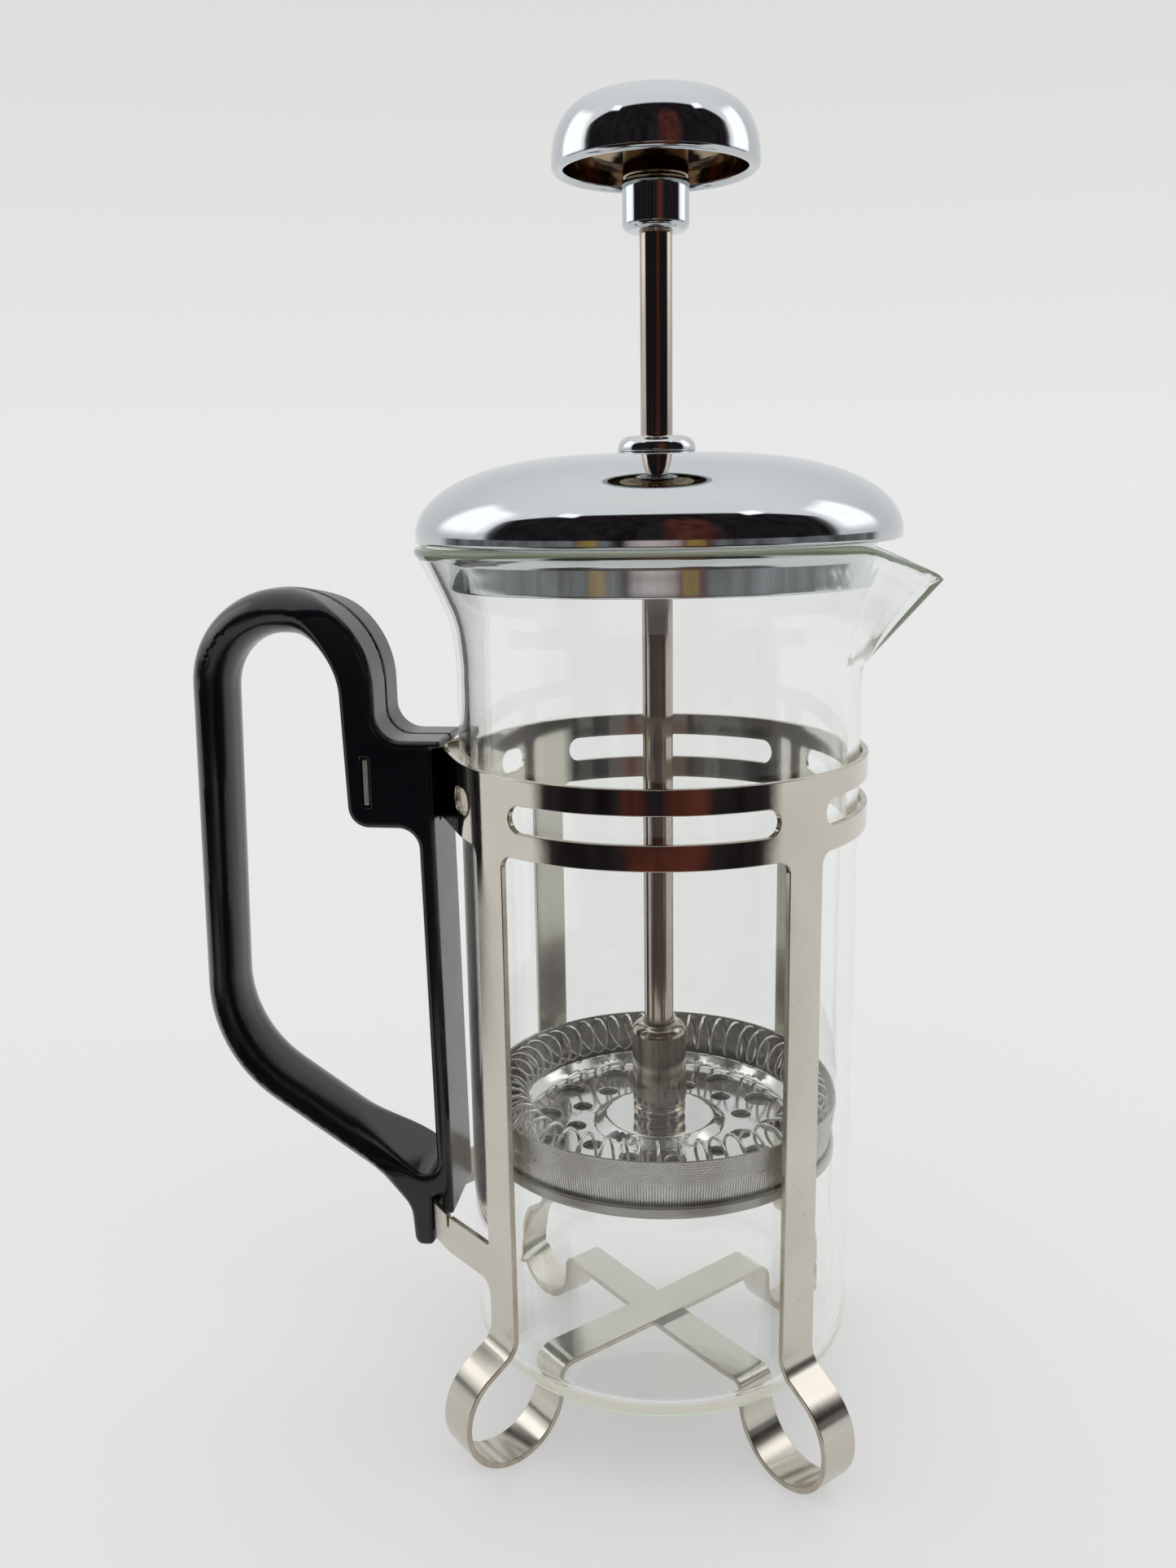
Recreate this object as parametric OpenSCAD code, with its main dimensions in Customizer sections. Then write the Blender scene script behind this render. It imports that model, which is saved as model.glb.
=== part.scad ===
// French press: glass beaker in a stamped steel frame with a moulded handle,
// a domed lid and a spring filter on a plunger rod.
// +Z is up, the spout points to +X and the handle to -X.
// The origin is on the beaker's axis, on the plane that the four feet stand on.

/* [Beaker] */
// Outside diameter of the glass cylinder
beaker_d = 65; // [64:0.5:65.5]
// Height of the beaker from its base to the rim
beaker_h = 136; // [130:1:137]
// Wall thickness of the glass
glass_t = 1.8; // [1.5:0.1:2]
// Outside diameter of the flared rim
rim_d = 76.6; // [76:0.2:77]
// Distance from the axis to the tip of the spout
spout_reach = 44.8; // [43:0.2:46]

/* [Frame] */
// Thickness of the stainless sheet
sheet_t = 1; // [0.8:0.1:1]
// Height of the band above the feet, at its lower edge
band_z = 104.3; // [100:0.5:105]
// Height of the band
band_h = 12; // [11.5:0.5:13]
// Clearance between the glass and the band
band_gap = 0.4; // [0.3:0.1:0.6]
// Width of each leg and of the straps under the beaker
leg_w = 6.8; // [6:0.2:7.4]
// Outside diameter of the rolled feet
foot_d = 19.4; // [18.8:0.1:19.6]
// Height of the slots in the band
slot_h = 4.2; // [3.6:0.2:4.6]

/* [Handle] */
// Width of the handle, across the finger gap
handle_w = 16; // [14:0.5:18]
// Distance from the axis to the outside of the grip
handle_reach = 79.2; // [78:0.2:82]
// Height of the top of the handle's arch
handle_top = 142.4; // [140:0.2:144]

/* [Lid] */
// Outside diameter of the dome
lid_d = 76.4; // [76:0.2:77]
// Rise of the dome above its edge
dome_h = 12.4; // [11:0.2:13]
// Thickness of the lid's sheet
lid_t = 0.8; // [0.6:0.1:0.9]

/* [Plunger] */
// Diameter of the rod
rod_d = 5; // [4.8:0.1:5.2]
// Diameter of the knob
knob_d = 31.4; // [30:0.2:34]
// Height of the knob's cap
knob_h = 10.8; // [10:0.2:12]
// Height of the knob's lower edge above the feet, plunger part way down
knob_z = 203.8; // [203:0.2:206]

/* [Filter] */
// Outside diameter of the filter's mesh at its upper edge
mesh_d = 60.7; // [60:0.1:60.7]
// Wire envelope of the spring's coil
coil_d = 6.8; // [6:0.1:6.8]
// Holes in each of the two rings of the spring plate
plate_holes = 12; // [8:1:14]

/* [Hidden] */
$fn = 96;
// How far a cutter runs past the face that it cuts
cut = 0.5;

// Beaker
beaker_r = beaker_d / 2;
rim_r = rim_d / 2;
base_t = 2.5;
base_z = 13.3;
rim_z = base_z + beaker_h;
base_corner = 4;
flare_r = 23;
flare_angle = 25;
flare_z = rim_z - 18.3;
spout_tip_w = 2.4;
spout_tip_z = rim_z - 6.2;
spout_root_z = rim_z - 20;
spout_half_angle = 31;

// Frame
band_r = beaker_r + band_gap;
leg_r = band_r + sheet_t / 2;
slot_z = band_z + band_h / 2;
side_slot_angle = 72;
spout_slot_angle = 76;
short_slot_angle = 12;
short_slot_at = 151;
tail_angle = 155;
tail_x = 49.8;
tail_gap = 0.1;
leg_angles = [-135, 135, -45, 45];
foot_r = foot_d / 2 - sheet_t / 2;
foot_sink = 0.1;
foot_z = foot_d / 2 - foot_sink;
foot_x = leg_r + 0.3;
leg_bend_r = 4;
leg_bend_angle = 60;
strap_top = base_z;
bracket_z = 30;
bracket_h = 6.6;
bar_x = 38.4;
bar_y = 8.7;

// Handle
head_x = 36.2;
head_z = 103.2;
head_top = 117.9;
lip_x = 34.9;
lip_z = band_z + band_h + 0.2;
grip_t = 5.8;
arch_r = 16;
finger_r = 10;
lock_x = 47.5;
lock_t = 0.9;
lock_h = 8;
lock_z = 107;

// Lid
lid_r = lid_d / 2;
lid_z = rim_z + 0.3;
dome_z = lid_z + 1;
dome_power = 3;
dome_top = dome_z + dome_h;
skirt_r = 33.2;
skirt_drop = 6.3;
flange_z = rim_z + 0.1;
collar_r = 6.1;
collar_h = 2.5;
stem_r = 3.5;
nut_r = 5.5;
nut_h = 2;
nut_top = dome_top - lid_t - 0.08;
bush_clear = 0.08;

// Plunger
rod_r = rod_d / 2;
knob_r = knob_d / 2;
knob_power = 4.6;
knob_lip = 1.8;
knob_wall = 1.9;
knob_skin = 1.4;
boss_r = 4.9;
sleeve_r = 5.1;
sleeve_top = knob_z - 0.8;
sleeve_h = 7.5;
rod_top = knob_z + 6;

// Filter, at the height where the plunger rests part way down
plate_z = 49.3;
plate_t = 0.8;
plate_r = 23.5;
hub_r = 4.6;
hub_z = plate_z + 2.3;
hub_h = 16.9;
rod_seat = hub_z + 3.6;
stud_r = 1.9;
mesh_t = 0.35;
mesh_r = mesh_d / 2;
mesh_low_r = mesh_r - 1.35;
mesh_h = 9.1;
coil_r = coil_d / 2;
coil_ring_r = mesh_low_r - coil_r + 0.35;
coil_z = plate_z + 6.5;
coil_skin = 0.4;

// Points on an arc about c from angle a0 to a1, n steps
function arc(c, r, a0, a1, n = 8) =
    [for (i = [0 : n]) let (a = a0 + (a1 - a0) * i / n) c + r * [cos(a), sin(a)]];

// Points of a quarter dome: [radius, height] with a flatter crown than a circle
function dome(r, h, power, z, n = 14) =
    [for (i = [0 : n]) let (a = 90 * i / n) [r * pow(cos(a), 2 / power), z + h * sin(a)]];

function backward(points) = [for (i = [len(points) - 1 : -1 : 0]) points[i]];

// One corner [x, y, radius] of an outline, between its neighbours, as arc points
function corner(before, at, after) =
    let (p = [at.x, at.y],
         u = unit([before.x, before.y] - p),
         v = unit([after.x, after.y] - p),
         half = acos(u * v) / 2,
         m = unit(u + v),
         centre = p + m * at.z / sin(half),
         start = p + u * at.z / tan(half),
         a0 = atan2(start.y - centre.y, start.x - centre.x),
         turn = 180 - 2 * half,
         side = u.x * v.y - u.y * v.x > 0 ? -1 : 1)
    at.z == 0 ? [p] : arc(centre, at.z, a0, a0 + side * turn, ceil(turn / 7.5));
function unit(v) = v / norm(v);

// A closed outline from corners [x, y, radius]
function outline(corners) =
    let (n = len(corners))
    [for (i = [0 : n - 1])
        each corner(corners[(i + n - 1) % n], corners[i], corners[(i + 1) % n])];

// ---------------------------------------------------------------- frame

// Round-ended slot through the band, centred on an angle
module band_slot(at, angle) {
    tip_d = slot_h + 0.1;
    end = angle / 2 - asin(tip_d / 2 / band_r);
    rotate([0, 0, at - end])
        rotate_extrude(angle = 2 * end)
            translate([band_r - cut, slot_z - slot_h / 2])
                square([sheet_t + 2 * cut, slot_h]);
    for (side = [-1, 1])
        rotate([0, 0, at + side * end])
            translate([band_r - 3 * cut, 0, slot_z])
                rotate([0, 90, 0])
                    cylinder(d = tip_d, h = sheet_t + 6 * cut);
}

// One end of the band: it leaves the ring at a tangent and turns out at the handle.
// Its faces stand just inside the ring's, so that they don't graze them
module band_tail() {
    step = 0.03;
    inner = band_r + step;
    outer = band_r + sheet_t - step;
    along = [-sin(tail_angle), -cos(tail_angle)];
    function on_ring(r) = r * [cos(tail_angle), -sin(tail_angle)];
    function tail_point(r, y) = on_ring(r) - along * (y + on_ring(r).y) / along.y;
    translate([0, 0, band_z])
        linear_extrude(band_h)
            polygon([on_ring(inner) - 0.4 * along,
                     on_ring(outer) - 0.4 * along,
                     tail_point(outer, tail_gap + sheet_t),
                     [-tail_x, -tail_gap - sheet_t],
                     [-tail_x, -tail_gap],
                     tail_point(inner, tail_gap)]);
}

module frame_band() color("#c9c4b8") difference() {
    union() {
        rotate([0, 0, -tail_angle])
            rotate_extrude(angle = 2 * tail_angle)
                translate([band_r, band_z]) square([sheet_t, band_h]);
        band_tail();
        mirror([0, 1, 0]) band_tail();
    }
    for (side = [-1, 1]) {
        band_slot(side * 90, side_slot_angle);
        band_slot(side * short_slot_at, short_slot_angle);
    }
    band_slot(0, spout_slot_angle);
    // Window in the turned-out ends for the lock plate
    translate([-lock_x - lock_t / 2 - 0.1, -2, lock_z - 0.1])
        cube([lock_t + 0.2, 4, lock_h + 0.2]);
    // The ends stop above the band's lower edge, inside the handle
    translate([-tail_x - cut, -2, band_z - cut])
        cube([tail_x - head_x - 1.5, 4, 0.7 + cut]);
}

// Side view of one leg: down, out into the rolled foot and back under the beaker
module leg_outline(strap_mid) {
    turn_in = strap_mid - foot_z;
    bend_z = foot_z + foot_r * sin(leg_bend_angle)
        + (foot_x + foot_r * cos(leg_bend_angle) - leg_r) * tan(90 - leg_bend_angle)
        + leg_bend_r * tan(leg_bend_angle / 2);
    function side(k) = concat(
        [[leg_r + k, band_z]],
        arc([leg_r + leg_bend_r, bend_z], leg_bend_r - k, 180, 180 + leg_bend_angle, 6),
        arc([foot_x, foot_z], foot_r + k, leg_bend_angle, -180, 36),
        arc([foot_x - foot_r - turn_in, foot_z], turn_in - k, 0, 90, 8));
    polygon(concat(side(sheet_t / 2), backward(side(-sheet_t / 2))));
}

module leg(at, strap_mid) color("#bfb8aa") rotate([0, 0, at]) {
    rotate([90, 0, 0])
        translate([0, 0, -leg_w / 2])
            linear_extrude(leg_w)
                intersection() {
                    leg_outline(strap_mid);
                    square([2 * beaker_d, band_z + cut]);
                }
    // Fillets where the leg leaves the band
    for (side = [-1, 1])
        translate([leg_r - sheet_t / 2, side * leg_w / 2, band_z])
            rotate([90, 0, 90])
                linear_extrude(sheet_t)
                    leg_fillet(side);
}

module leg_fillet(side) {
    r = 2;
    difference() {
        translate([side > 0 ? 0 : -r, -r]) square(r);
        translate([side * r, -r]) circle(r);
    }
}

module base_strap(at, mid) color("#b8b2a4")
    rotate([0, 0, at])
        translate([-foot_x + foot_r + mid - foot_z, -leg_w / 2, mid - sheet_t / 2])
            cube([2 * (foot_x - foot_r - mid + foot_z), leg_w, sheet_t]);

strap_upper = strap_top - sheet_t / 2;
strap_lower = strap_upper - sheet_t;

module leg_handle_right() leg(leg_angles[0], strap_upper);
module leg_handle_left() leg(leg_angles[1], strap_lower);
module leg_spout_right() leg(leg_angles[2], strap_lower);
module leg_spout_left() leg(leg_angles[3], strap_upper);
module base_strap_upper() base_strap(45, strap_upper);
module base_strap_lower() base_strap(-45, strap_lower);

// Arms from both legs on the handle side, joined by the bar that the handle hooks on.
// One side of its plan, offset outwards by k from the sheet's middle
function bracket_side(k) =
    let (leg_edge = leg_r * [cos(135), sin(135)] - leg_w / 2 * [sin(45), cos(45)])
    [leg_edge - k * [sin(45), -cos(45)],
     [-34.8, 13.15] - k * [cos(38), -sin(38)],
     [-bar_x, bar_y] + k * [-1, 0.45],
     [-bar_x - k, 0]];

// The same offset line from leg to leg
function bracket_path(k) = concat(bracket_side(k),
    backward([for (p = bracket_side(k)) if (p.y > 0) [p.x, -p.y]]));

module handle_bracket() color("#bfb8aa")
    translate([0, 0, bracket_z])
        linear_extrude(bracket_h)
            polygon(concat(bracket_path(sheet_t / 2), backward(bracket_path(-sheet_t / 2))));

// ---------------------------------------------------------------- handle

// Side view corners [x, z, radius] of the handle, outside
function handle_corners() = [
    [-lip_x, head_top, 0.4], [-lip_x, lip_z, 0], [-head_x, lip_z, 0],
    [-head_x, head_z, 0], [-35.6, 33.6, 0.5], [-37.7, 33.6, 0.5],
    [-37.7, 36.9, 0], [-39.1, 36.9, 0], [-39.2, 27.3, 1.2], [-42.8, 27.3, 1.6],
    [-43.4, 34.6, 4], [-handle_reach - 0.9, 60, 26],
    [-handle_reach + 1.2, handle_top, arch_r],
    [-handle_reach + 1.2 + 2 * arch_r, handle_top, arch_r],
    [-45.6, head_top, 4.5]];

// Side view corners of the finger gap
function finger_corners() = [
    [-handle_reach + grip_t + 1.6, handle_top - 7.4, finger_r],
    [-51.8, handle_top - 7.4, finger_r], [-50.8, head_z, 3.5],
    [-39.1, head_z, 3.5], [-38.2, 38.6, 2.5], [-handle_reach + grip_t - 0.8, 63.7, 20]];

module handle() color("#16171c") difference() {
    translate([0, handle_w / 2, 0])
        rotate([90, 0, 0])
            linear_extrude(handle_w)
                difference() {
                    polygon(outline(handle_corners()));
                    polygon(outline(finger_corners()));
                }
    // Recess for the band where it runs into the head
    translate([-head_x - 1.4, -3.3, band_z - 0.2])
        cube([3, 6.6, band_h + 0.4]);
    // Slot for the band's turned-out ends
    translate([-tail_x - 0.3, -1.3, band_z + 0.5])
        cube([tail_x - head_x + 1, 2.6, band_h - 0.3]);
    // Slot for the lock plate, right across
    translate([-lock_x - lock_t / 2 - 0.05, -handle_w / 2 - cut, lock_z - 0.05])
        cube([lock_t + 0.1, handle_w + 2 * cut, lock_h + 0.1]);
}

module handle_lock_plate() color("#aab0b4")
    translate([-lock_x - lock_t / 2, -handle_w / 2 + 0.2, lock_z])
        cube([lock_t, handle_w - 0.4, lock_h]);

// ---------------------------------------------------------------- beaker

// One face of the glass wall in half section, drawn in by k, from the middle to the rim
function wall(k, bottom) = concat(
    [[0, bottom]],
    arc([beaker_r - base_corner, bottom + base_corner - k], base_corner - k, -90, 0, 6),
    arc([beaker_r + flare_r, flare_z], flare_r + k, 180, 180 - flare_angle, 8));

module glass_body() {
    bead = 0.9;
    rotate_extrude()
        polygon(concat(wall(0, base_z),
            [[rim_r, rim_z - bead]], arc([rim_r - bead, rim_z - bead], bead, 0, 180, 8),
            [[rim_r - glass_t, rim_z - 1.6]], backward(wall(glass_t, base_z + base_t))));
}

// What the beaker encloses, measured to the middle of its wall
module glass_middle() {
    half = glass_t / 2;
    rotate_extrude()
        polygon(concat(wall(half, base_z + base_t),
            [[rim_r - half, rim_z - 1.2], [rim_r - half, rim_z + cut], [0, rim_z + cut]]));
}

// The pouring beak, drawn in by k on every side
module spout_wedge(k, top) {
    tip = spout_reach - k;
    root = (rim_r - k) * [cos(spout_half_angle), sin(spout_half_angle)];
    intersection() {
        linear_extrude(rim_z + cut)
            polygon([[beaker_r - 6, 0], [beaker_r - 6, -root.y], [root.x, -root.y],
                     [tip, -spout_tip_w / 2], [tip, spout_tip_w / 2],
                     [root.x, root.y], [beaker_r - 6, root.y]]);
        translate([0, beaker_r, 0])
            rotate([90, 0, 0])
                linear_extrude(beaker_d)
                    polygon([[beaker_r - 6, spout_root_z - 5 + k],
                             [beaker_r - 1.2, spout_root_z + k], [spout_reach, spout_tip_z + k],
                             [spout_reach, top - 5.4], [root.x, top], [beaker_r - 6, top]]);
    }
}

module glass_beaker() color("#dfe9e6", 0.35) difference() {
    union() {
        glass_body();
        difference() {
            spout_wedge(0, rim_z - 0.6);
            glass_middle();
        }
    }
    spout_wedge(glass_t, rim_z + cut);
}

// ---------------------------------------------------------------- lid

module lid_dome() color("#d7dadb")
    rotate_extrude()
        polygon(concat([[lid_r - 0.9, lid_z], [lid_r, lid_z + 0.6]],
            [for (p = dome(lid_r, dome_h, dome_power, dome_z)) if (p.x > stem_r) p],
            [[stem_r, dome_top], [stem_r, dome_top - lid_t]],
            backward([for (p = dome(lid_r - lid_t, dome_h - lid_t, dome_power, dome_z))
                if (p.x > stem_r + 0.1) p]),
            [[lid_r - 0.9, lid_z + 0.6]]));

module lid_skirt() color("#cfd2d3")
    rotate_extrude()
        polygon([[skirt_r - lid_t, rim_z - skirt_drop], [skirt_r, rim_z - skirt_drop],
                 [skirt_r, rim_z - 1.6], [skirt_r + 0.5, rim_z - 0.6],
                 [skirt_r + 1.5, flange_z], [lid_r - 1, flange_z],
                 [lid_r - 1, flange_z + lid_t], [skirt_r + 1.2, flange_z + lid_t],
                 [skirt_r - 0.2, rim_z - 0.3], [skirt_r - lid_t, rim_z - 1.5]]);

module lid_collar() color("#d7dadb") difference() {
    rotate_extrude()
        polygon(concat([[0, nut_top - nut_h], [stem_r, nut_top - nut_h],
            [stem_r, dome_top], [collar_r, dome_top]],
            arc([collar_r - 1.8, dome_top + collar_h - 1.8], 1.8, 0, 90, 8),
            [[0, dome_top + collar_h]]));
    translate([0, 0, dome_top - 5]) cylinder(r = rod_r + bush_clear, h = 10);
}

module lid_retaining_nut() color("#b9bcbd")
    translate([0, 0, nut_top - nut_h])
        difference() {
            cylinder(r = nut_r, h = nut_h, $fn = 6);
            translate([0, 0, -cut]) cylinder(r = stem_r, h = nut_h + 2 * cut);
        }

// ---------------------------------------------------------------- plunger

module plunger_rod() color("#b9b3ad")
    translate([0, 0, rod_seat]) cylinder(r = rod_r, h = rod_top - rod_seat);

module knob_cap() color("#dcdfe0")
    rotate_extrude()
        polygon(concat(
            [[knob_r - knob_wall, knob_z + 0.3], [knob_r - knob_wall + 0.4, knob_z]],
            arc([knob_r - 1.2, knob_z + 1.2], 1.2, -90, 0, 6),
            dome(knob_r, knob_h - knob_lip, knob_power, knob_z + knob_lip),
            backward(dome(knob_r - knob_wall, knob_h - knob_lip - knob_skin,
                knob_power, knob_z + knob_lip))));

module knob_boss() color("#c8cacb") difference() {
    translate([0, 0, sleeve_top])
        cylinder(r = boss_r, h = knob_z + knob_h - knob_skin - 0.35 - sleeve_top);
    translate([0, 0, sleeve_top - cut]) cylinder(r = rod_r, h = rod_top - sleeve_top + cut);
}

module knob_sleeve() color("#d7dadb") difference() {
    rotate_extrude()
        polygon(concat([[0, sleeve_top - sleeve_h]],
            arc([sleeve_r - 1, sleeve_top - sleeve_h + 1], 1, -90, 0, 6),
            arc([sleeve_r - 0.7, sleeve_top - 0.7], 0.7, 0, 90, 6),
            [[0, sleeve_top]]));
    translate([0, 0, sleeve_top - sleeve_h - cut]) cylinder(r = rod_r, h = sleeve_h + 2 * cut);
}

// ---------------------------------------------------------------- filter

module filter_hub() color("#a9a199") difference() {
    rotate_extrude()
        polygon(concat([[0, hub_z], [hub_r - 0.4, hub_z], [hub_r - 0.1, hub_z + 0.4],
            [hub_r - 0.1, hub_z + 1.6], [hub_r - 0.5, hub_z + 1.8],
            [hub_r - 0.5, hub_z + 2.4], [hub_r, hub_z + 2.6]],
            arc([hub_r - 1.5, hub_z + hub_h - 1.5], 1.5, 0, 90, 8),
            [[0, hub_z + hub_h]]));
    translate([0, 0, rod_seat]) cylinder(r = rod_r, h = hub_h);
    translate([0, 0, hub_z - cut]) cylinder(r = stud_r, h = 3 + cut);
}

// Dished plate that carries the spring, with two rings of holes
module spring_plate() color("#c4c2bc") difference() {
    rotate_extrude()
        polygon([[stud_r, hub_z], [9.3, hub_z], [11.3, plate_z + plate_t],
                 [plate_r, plate_z + plate_t], [25.2, plate_z + 2.9],
                 [25.9, plate_z + 2.5], [plate_r + 0.4, plate_z],
                 [10.9, plate_z], [8.9, hub_z - plate_t], [stud_r, hub_z - plate_t]]);
    for (i = [0 : plate_holes - 1]) {
        rotate([0, 0, (i + 0.5) * 360 / plate_holes])
            translate([14.6, 0, plate_z - cut])
                cylinder(d = 3.3, h = plate_t + 2 * cut);
        rotate([0, 0, i * 360 / plate_holes])
            translate([19.9, 0, plate_z - cut])
                cylinder(d = 5, h = plate_t + 2 * cut);
    }
}

// The coil as a thin tube of its outer shape, open along the underside
module filter_spring() color("#b7b2aa")
    rotate_extrude()
        translate([coil_ring_r, coil_z])
            difference() {
                circle(coil_r, $fn = 32);
                circle(coil_r - coil_skin, $fn = 32);
                translate([-0.5, -coil_d]) square([1, coil_d]);
            }

module filter_mesh() color("#a39b8f")
    rotate_extrude()
        polygon([[stud_r, plate_z - mesh_t], [mesh_low_r, plate_z - mesh_t],
                 [mesh_r, plate_z - mesh_t + mesh_h], [mesh_r - mesh_t, plate_z - mesh_t + mesh_h],
                 [mesh_low_r - mesh_t, plate_z], [stud_r, plate_z]]);

// Plate under the mesh, open between its spokes, with a raised rim around the mesh
module cross_plate() color("#8f887d") difference() {
    rotate_extrude()
        polygon([[stud_r, plate_z - mesh_t - 0.9], [mesh_low_r + 0.9, plate_z - mesh_t - 0.9],
                 [mesh_low_r + 0.9, plate_z + 0.9], [mesh_low_r + 0.3, plate_z + 0.9],
                 [mesh_low_r + 0.15, plate_z - mesh_t], [stud_r, plate_z - mesh_t]]);
    for (i = [0 : 7])
        rotate([0, 0, (i + 0.5) * 45])
            translate([18, 0, plate_z - 2])
                cylinder(d = 11, h = 3);
}

module filter_stud() color("#b7b2aa") {
    translate([0, 0, plate_z - mesh_t - 2.3]) cylinder(r = 4.4, h = 1.4);
    translate([0, 0, plate_z - mesh_t - 1.2]) cylinder(r = stud_r, h = hub_z + 2.9 - plate_z + mesh_t + 1.2);
}

frame_band();
leg_handle_right();
leg_handle_left();
leg_spout_right();
leg_spout_left();
base_strap_upper();
base_strap_lower();
handle_bracket();
handle();
handle_lock_plate();
glass_beaker();
lid_dome();
lid_skirt();
lid_collar();
lid_retaining_nut();
plunger_rod();
knob_cap();
knob_boss();
knob_sleeve();
filter_hub();
spring_plate();
filter_spring();
filter_mesh();
cross_plate();
filter_stud();
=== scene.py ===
import math
import bpy
import numpy as np
from mathutils import Matrix, Vector
from mathutils.geometry import delaunay_2d_cdt


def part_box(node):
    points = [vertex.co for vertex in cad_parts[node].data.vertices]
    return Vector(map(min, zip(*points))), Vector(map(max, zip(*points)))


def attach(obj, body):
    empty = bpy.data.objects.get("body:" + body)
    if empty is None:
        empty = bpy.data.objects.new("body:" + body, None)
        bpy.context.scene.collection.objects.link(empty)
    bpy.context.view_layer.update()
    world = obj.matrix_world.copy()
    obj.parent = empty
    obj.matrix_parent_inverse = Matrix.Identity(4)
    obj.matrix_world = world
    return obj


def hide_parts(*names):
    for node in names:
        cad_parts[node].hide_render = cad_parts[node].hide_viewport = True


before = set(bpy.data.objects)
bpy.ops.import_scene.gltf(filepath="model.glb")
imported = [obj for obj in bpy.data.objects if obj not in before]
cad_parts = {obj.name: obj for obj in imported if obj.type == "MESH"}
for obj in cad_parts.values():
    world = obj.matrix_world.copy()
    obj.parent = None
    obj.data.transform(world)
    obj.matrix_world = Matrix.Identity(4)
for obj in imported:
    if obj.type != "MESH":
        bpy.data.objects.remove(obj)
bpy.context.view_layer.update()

# A french press. All lengths below are in millimetres and angles in degrees, in the
# frame of the CAD model: +Z up, the spout towards +X, the handle towards -X, and the
# origin on the beaker's axis, on the plane that the feet stand on.
MM = 0.001


def cad(node):
    """Lowest and highest corner of a CAD node, in millimetres."""
    lo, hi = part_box(node)
    return np.array(lo) / MM, np.array(hi) / MM


def round_size(node):
    """Radius, lowest z and highest z of a CAD node that is round about Z."""
    lo, hi = cad(node)
    return hi[0], lo[2], hi[2]


# ---- small geometry kit

def unit(v):
    v = np.asarray(v, float)
    return v / np.maximum(np.linalg.norm(v, axis=-1, keepdims=True), 1e-12)


def rounded(corners, closed=False, turn=8.0, guard=0.03):
    """Points of a path through corners (x, y, radius), with guards beside each arc so
    that a smooth-shaded edge doesn't bleed over the flat next to it."""
    n = len(corners)
    at = [np.array(c[:2], float) for c in corners]
    out = []
    for i, corner in enumerate(corners):
        r = corner[2] if len(corner) > 2 else 0.0
        if r == 0 or (not closed and i in (0, n - 1)):
            out.append(at[i])
            continue
        u, v = unit(at[i - 1] - at[i]), unit(at[(i + 1) % n] - at[i])
        half = math.acos(max(-1.0, min(1.0, float(u @ v)))) / 2
        if half > math.pi / 2 - 1e-3:
            out.append(at[i])
            continue
        centre = at[i] + unit(u + v) * r / math.sin(half)
        start, end = at[i] + u * r / math.tan(half), at[i] + v * r / math.tan(half)
        a0 = math.atan2(*(start - centre)[::-1])
        sweep = (math.pi - 2 * half) * (-1 if u[0] * v[1] - u[1] * v[0] > 0 else 1)
        steps = max(2, math.ceil(abs(math.degrees(sweep)) / turn))
        out.append(start + u * guard)
        for k in range(steps + 1):
            a = a0 + sweep * k / steps
            out.append(centre + r * np.array([math.cos(a), math.sin(a)]))
        out.append(end + v * guard)
    return np.array(out)


def curve_through(points, per=6):
    """A smooth curve (Catmull-Rom) through fairly evenly spaced points."""
    p = np.array(points, float)
    p = np.vstack([2 * p[0] - p[1], p, 2 * p[-1] - p[-2]])
    out = []
    for i in range(1, len(p) - 2):
        t = np.linspace(0, 1, per, endpoint=False)[:, None]
        a, b, c, d = p[i - 1], p[i], p[i + 1], p[i + 2]
        out.append(0.5 * (2 * b + (c - a) * t + (2 * a - 5 * b + 4 * c - d) * t ** 2
                          + (3 * b - 3 * c + d - a) * t ** 3))
    return np.vstack(out + [p[-2][None]])


def polar(r, a, z):
    """Points at radius r, angle a (in radians) and height z."""
    return np.stack(np.broadcast_arrays(r * np.cos(a), r * np.sin(a), z), -1)


def arc(centre, r, a0, a1, n):
    a = np.radians(np.linspace(a0, a1, n + 1))
    return np.array(centre) + r * np.stack([np.cos(a), np.sin(a)], 1)


def side_normals(p, closed):
    """Unit normals on the right of a path's direction of travel."""
    d = unit(np.roll(p, -1, 0) - p)
    before, after = np.roll(d, 1, 0), d.copy()
    if not closed:
        before[0], after[-1] = d[0], d[-2]
    t = unit(before + after)
    return np.stack([t[:, 1], -t[:, 0]], 1)


def run_length(p):
    """Distance along a path from its start to each of its points."""
    return np.concatenate([[0], np.cumsum(np.linalg.norm(np.diff(p, axis=0), axis=1))])


def smooth(t):
    """0 to 1 as t goes from 0 to 1, level at both ends."""
    t = np.clip(t, 0, 1)
    return t * t * (3 - 2 * t)


def grid_faces(rows, cols, first=0, ring=True, loop=False):
    """Faces of a grid of vertices. ring joins its last column to its first, and loop its
    last row to its first."""
    out = []
    for i in range(rows if loop else rows - 1):
        a, b = first + i * cols, first + (i + 1) % rows * cols
        for j in range(cols if ring else cols - 1):
            k = (j + 1) % cols
            out.append((a + j, a + k, b + k, b + j))
    return out


def spaced(p, step, closed=False):
    """The same path with extra points, so that none is further than step from the next."""
    ends = np.vstack([p, p[:1]]) if closed else p
    out = []
    for a, b in zip(ends[:-1], ends[1:]):
        k = max(1, math.ceil(np.linalg.norm(b - a) / step))
        out += [a + (b - a) * j / k for j in range(k)]
    return np.array(out if closed else out + [ends[-1]])


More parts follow.
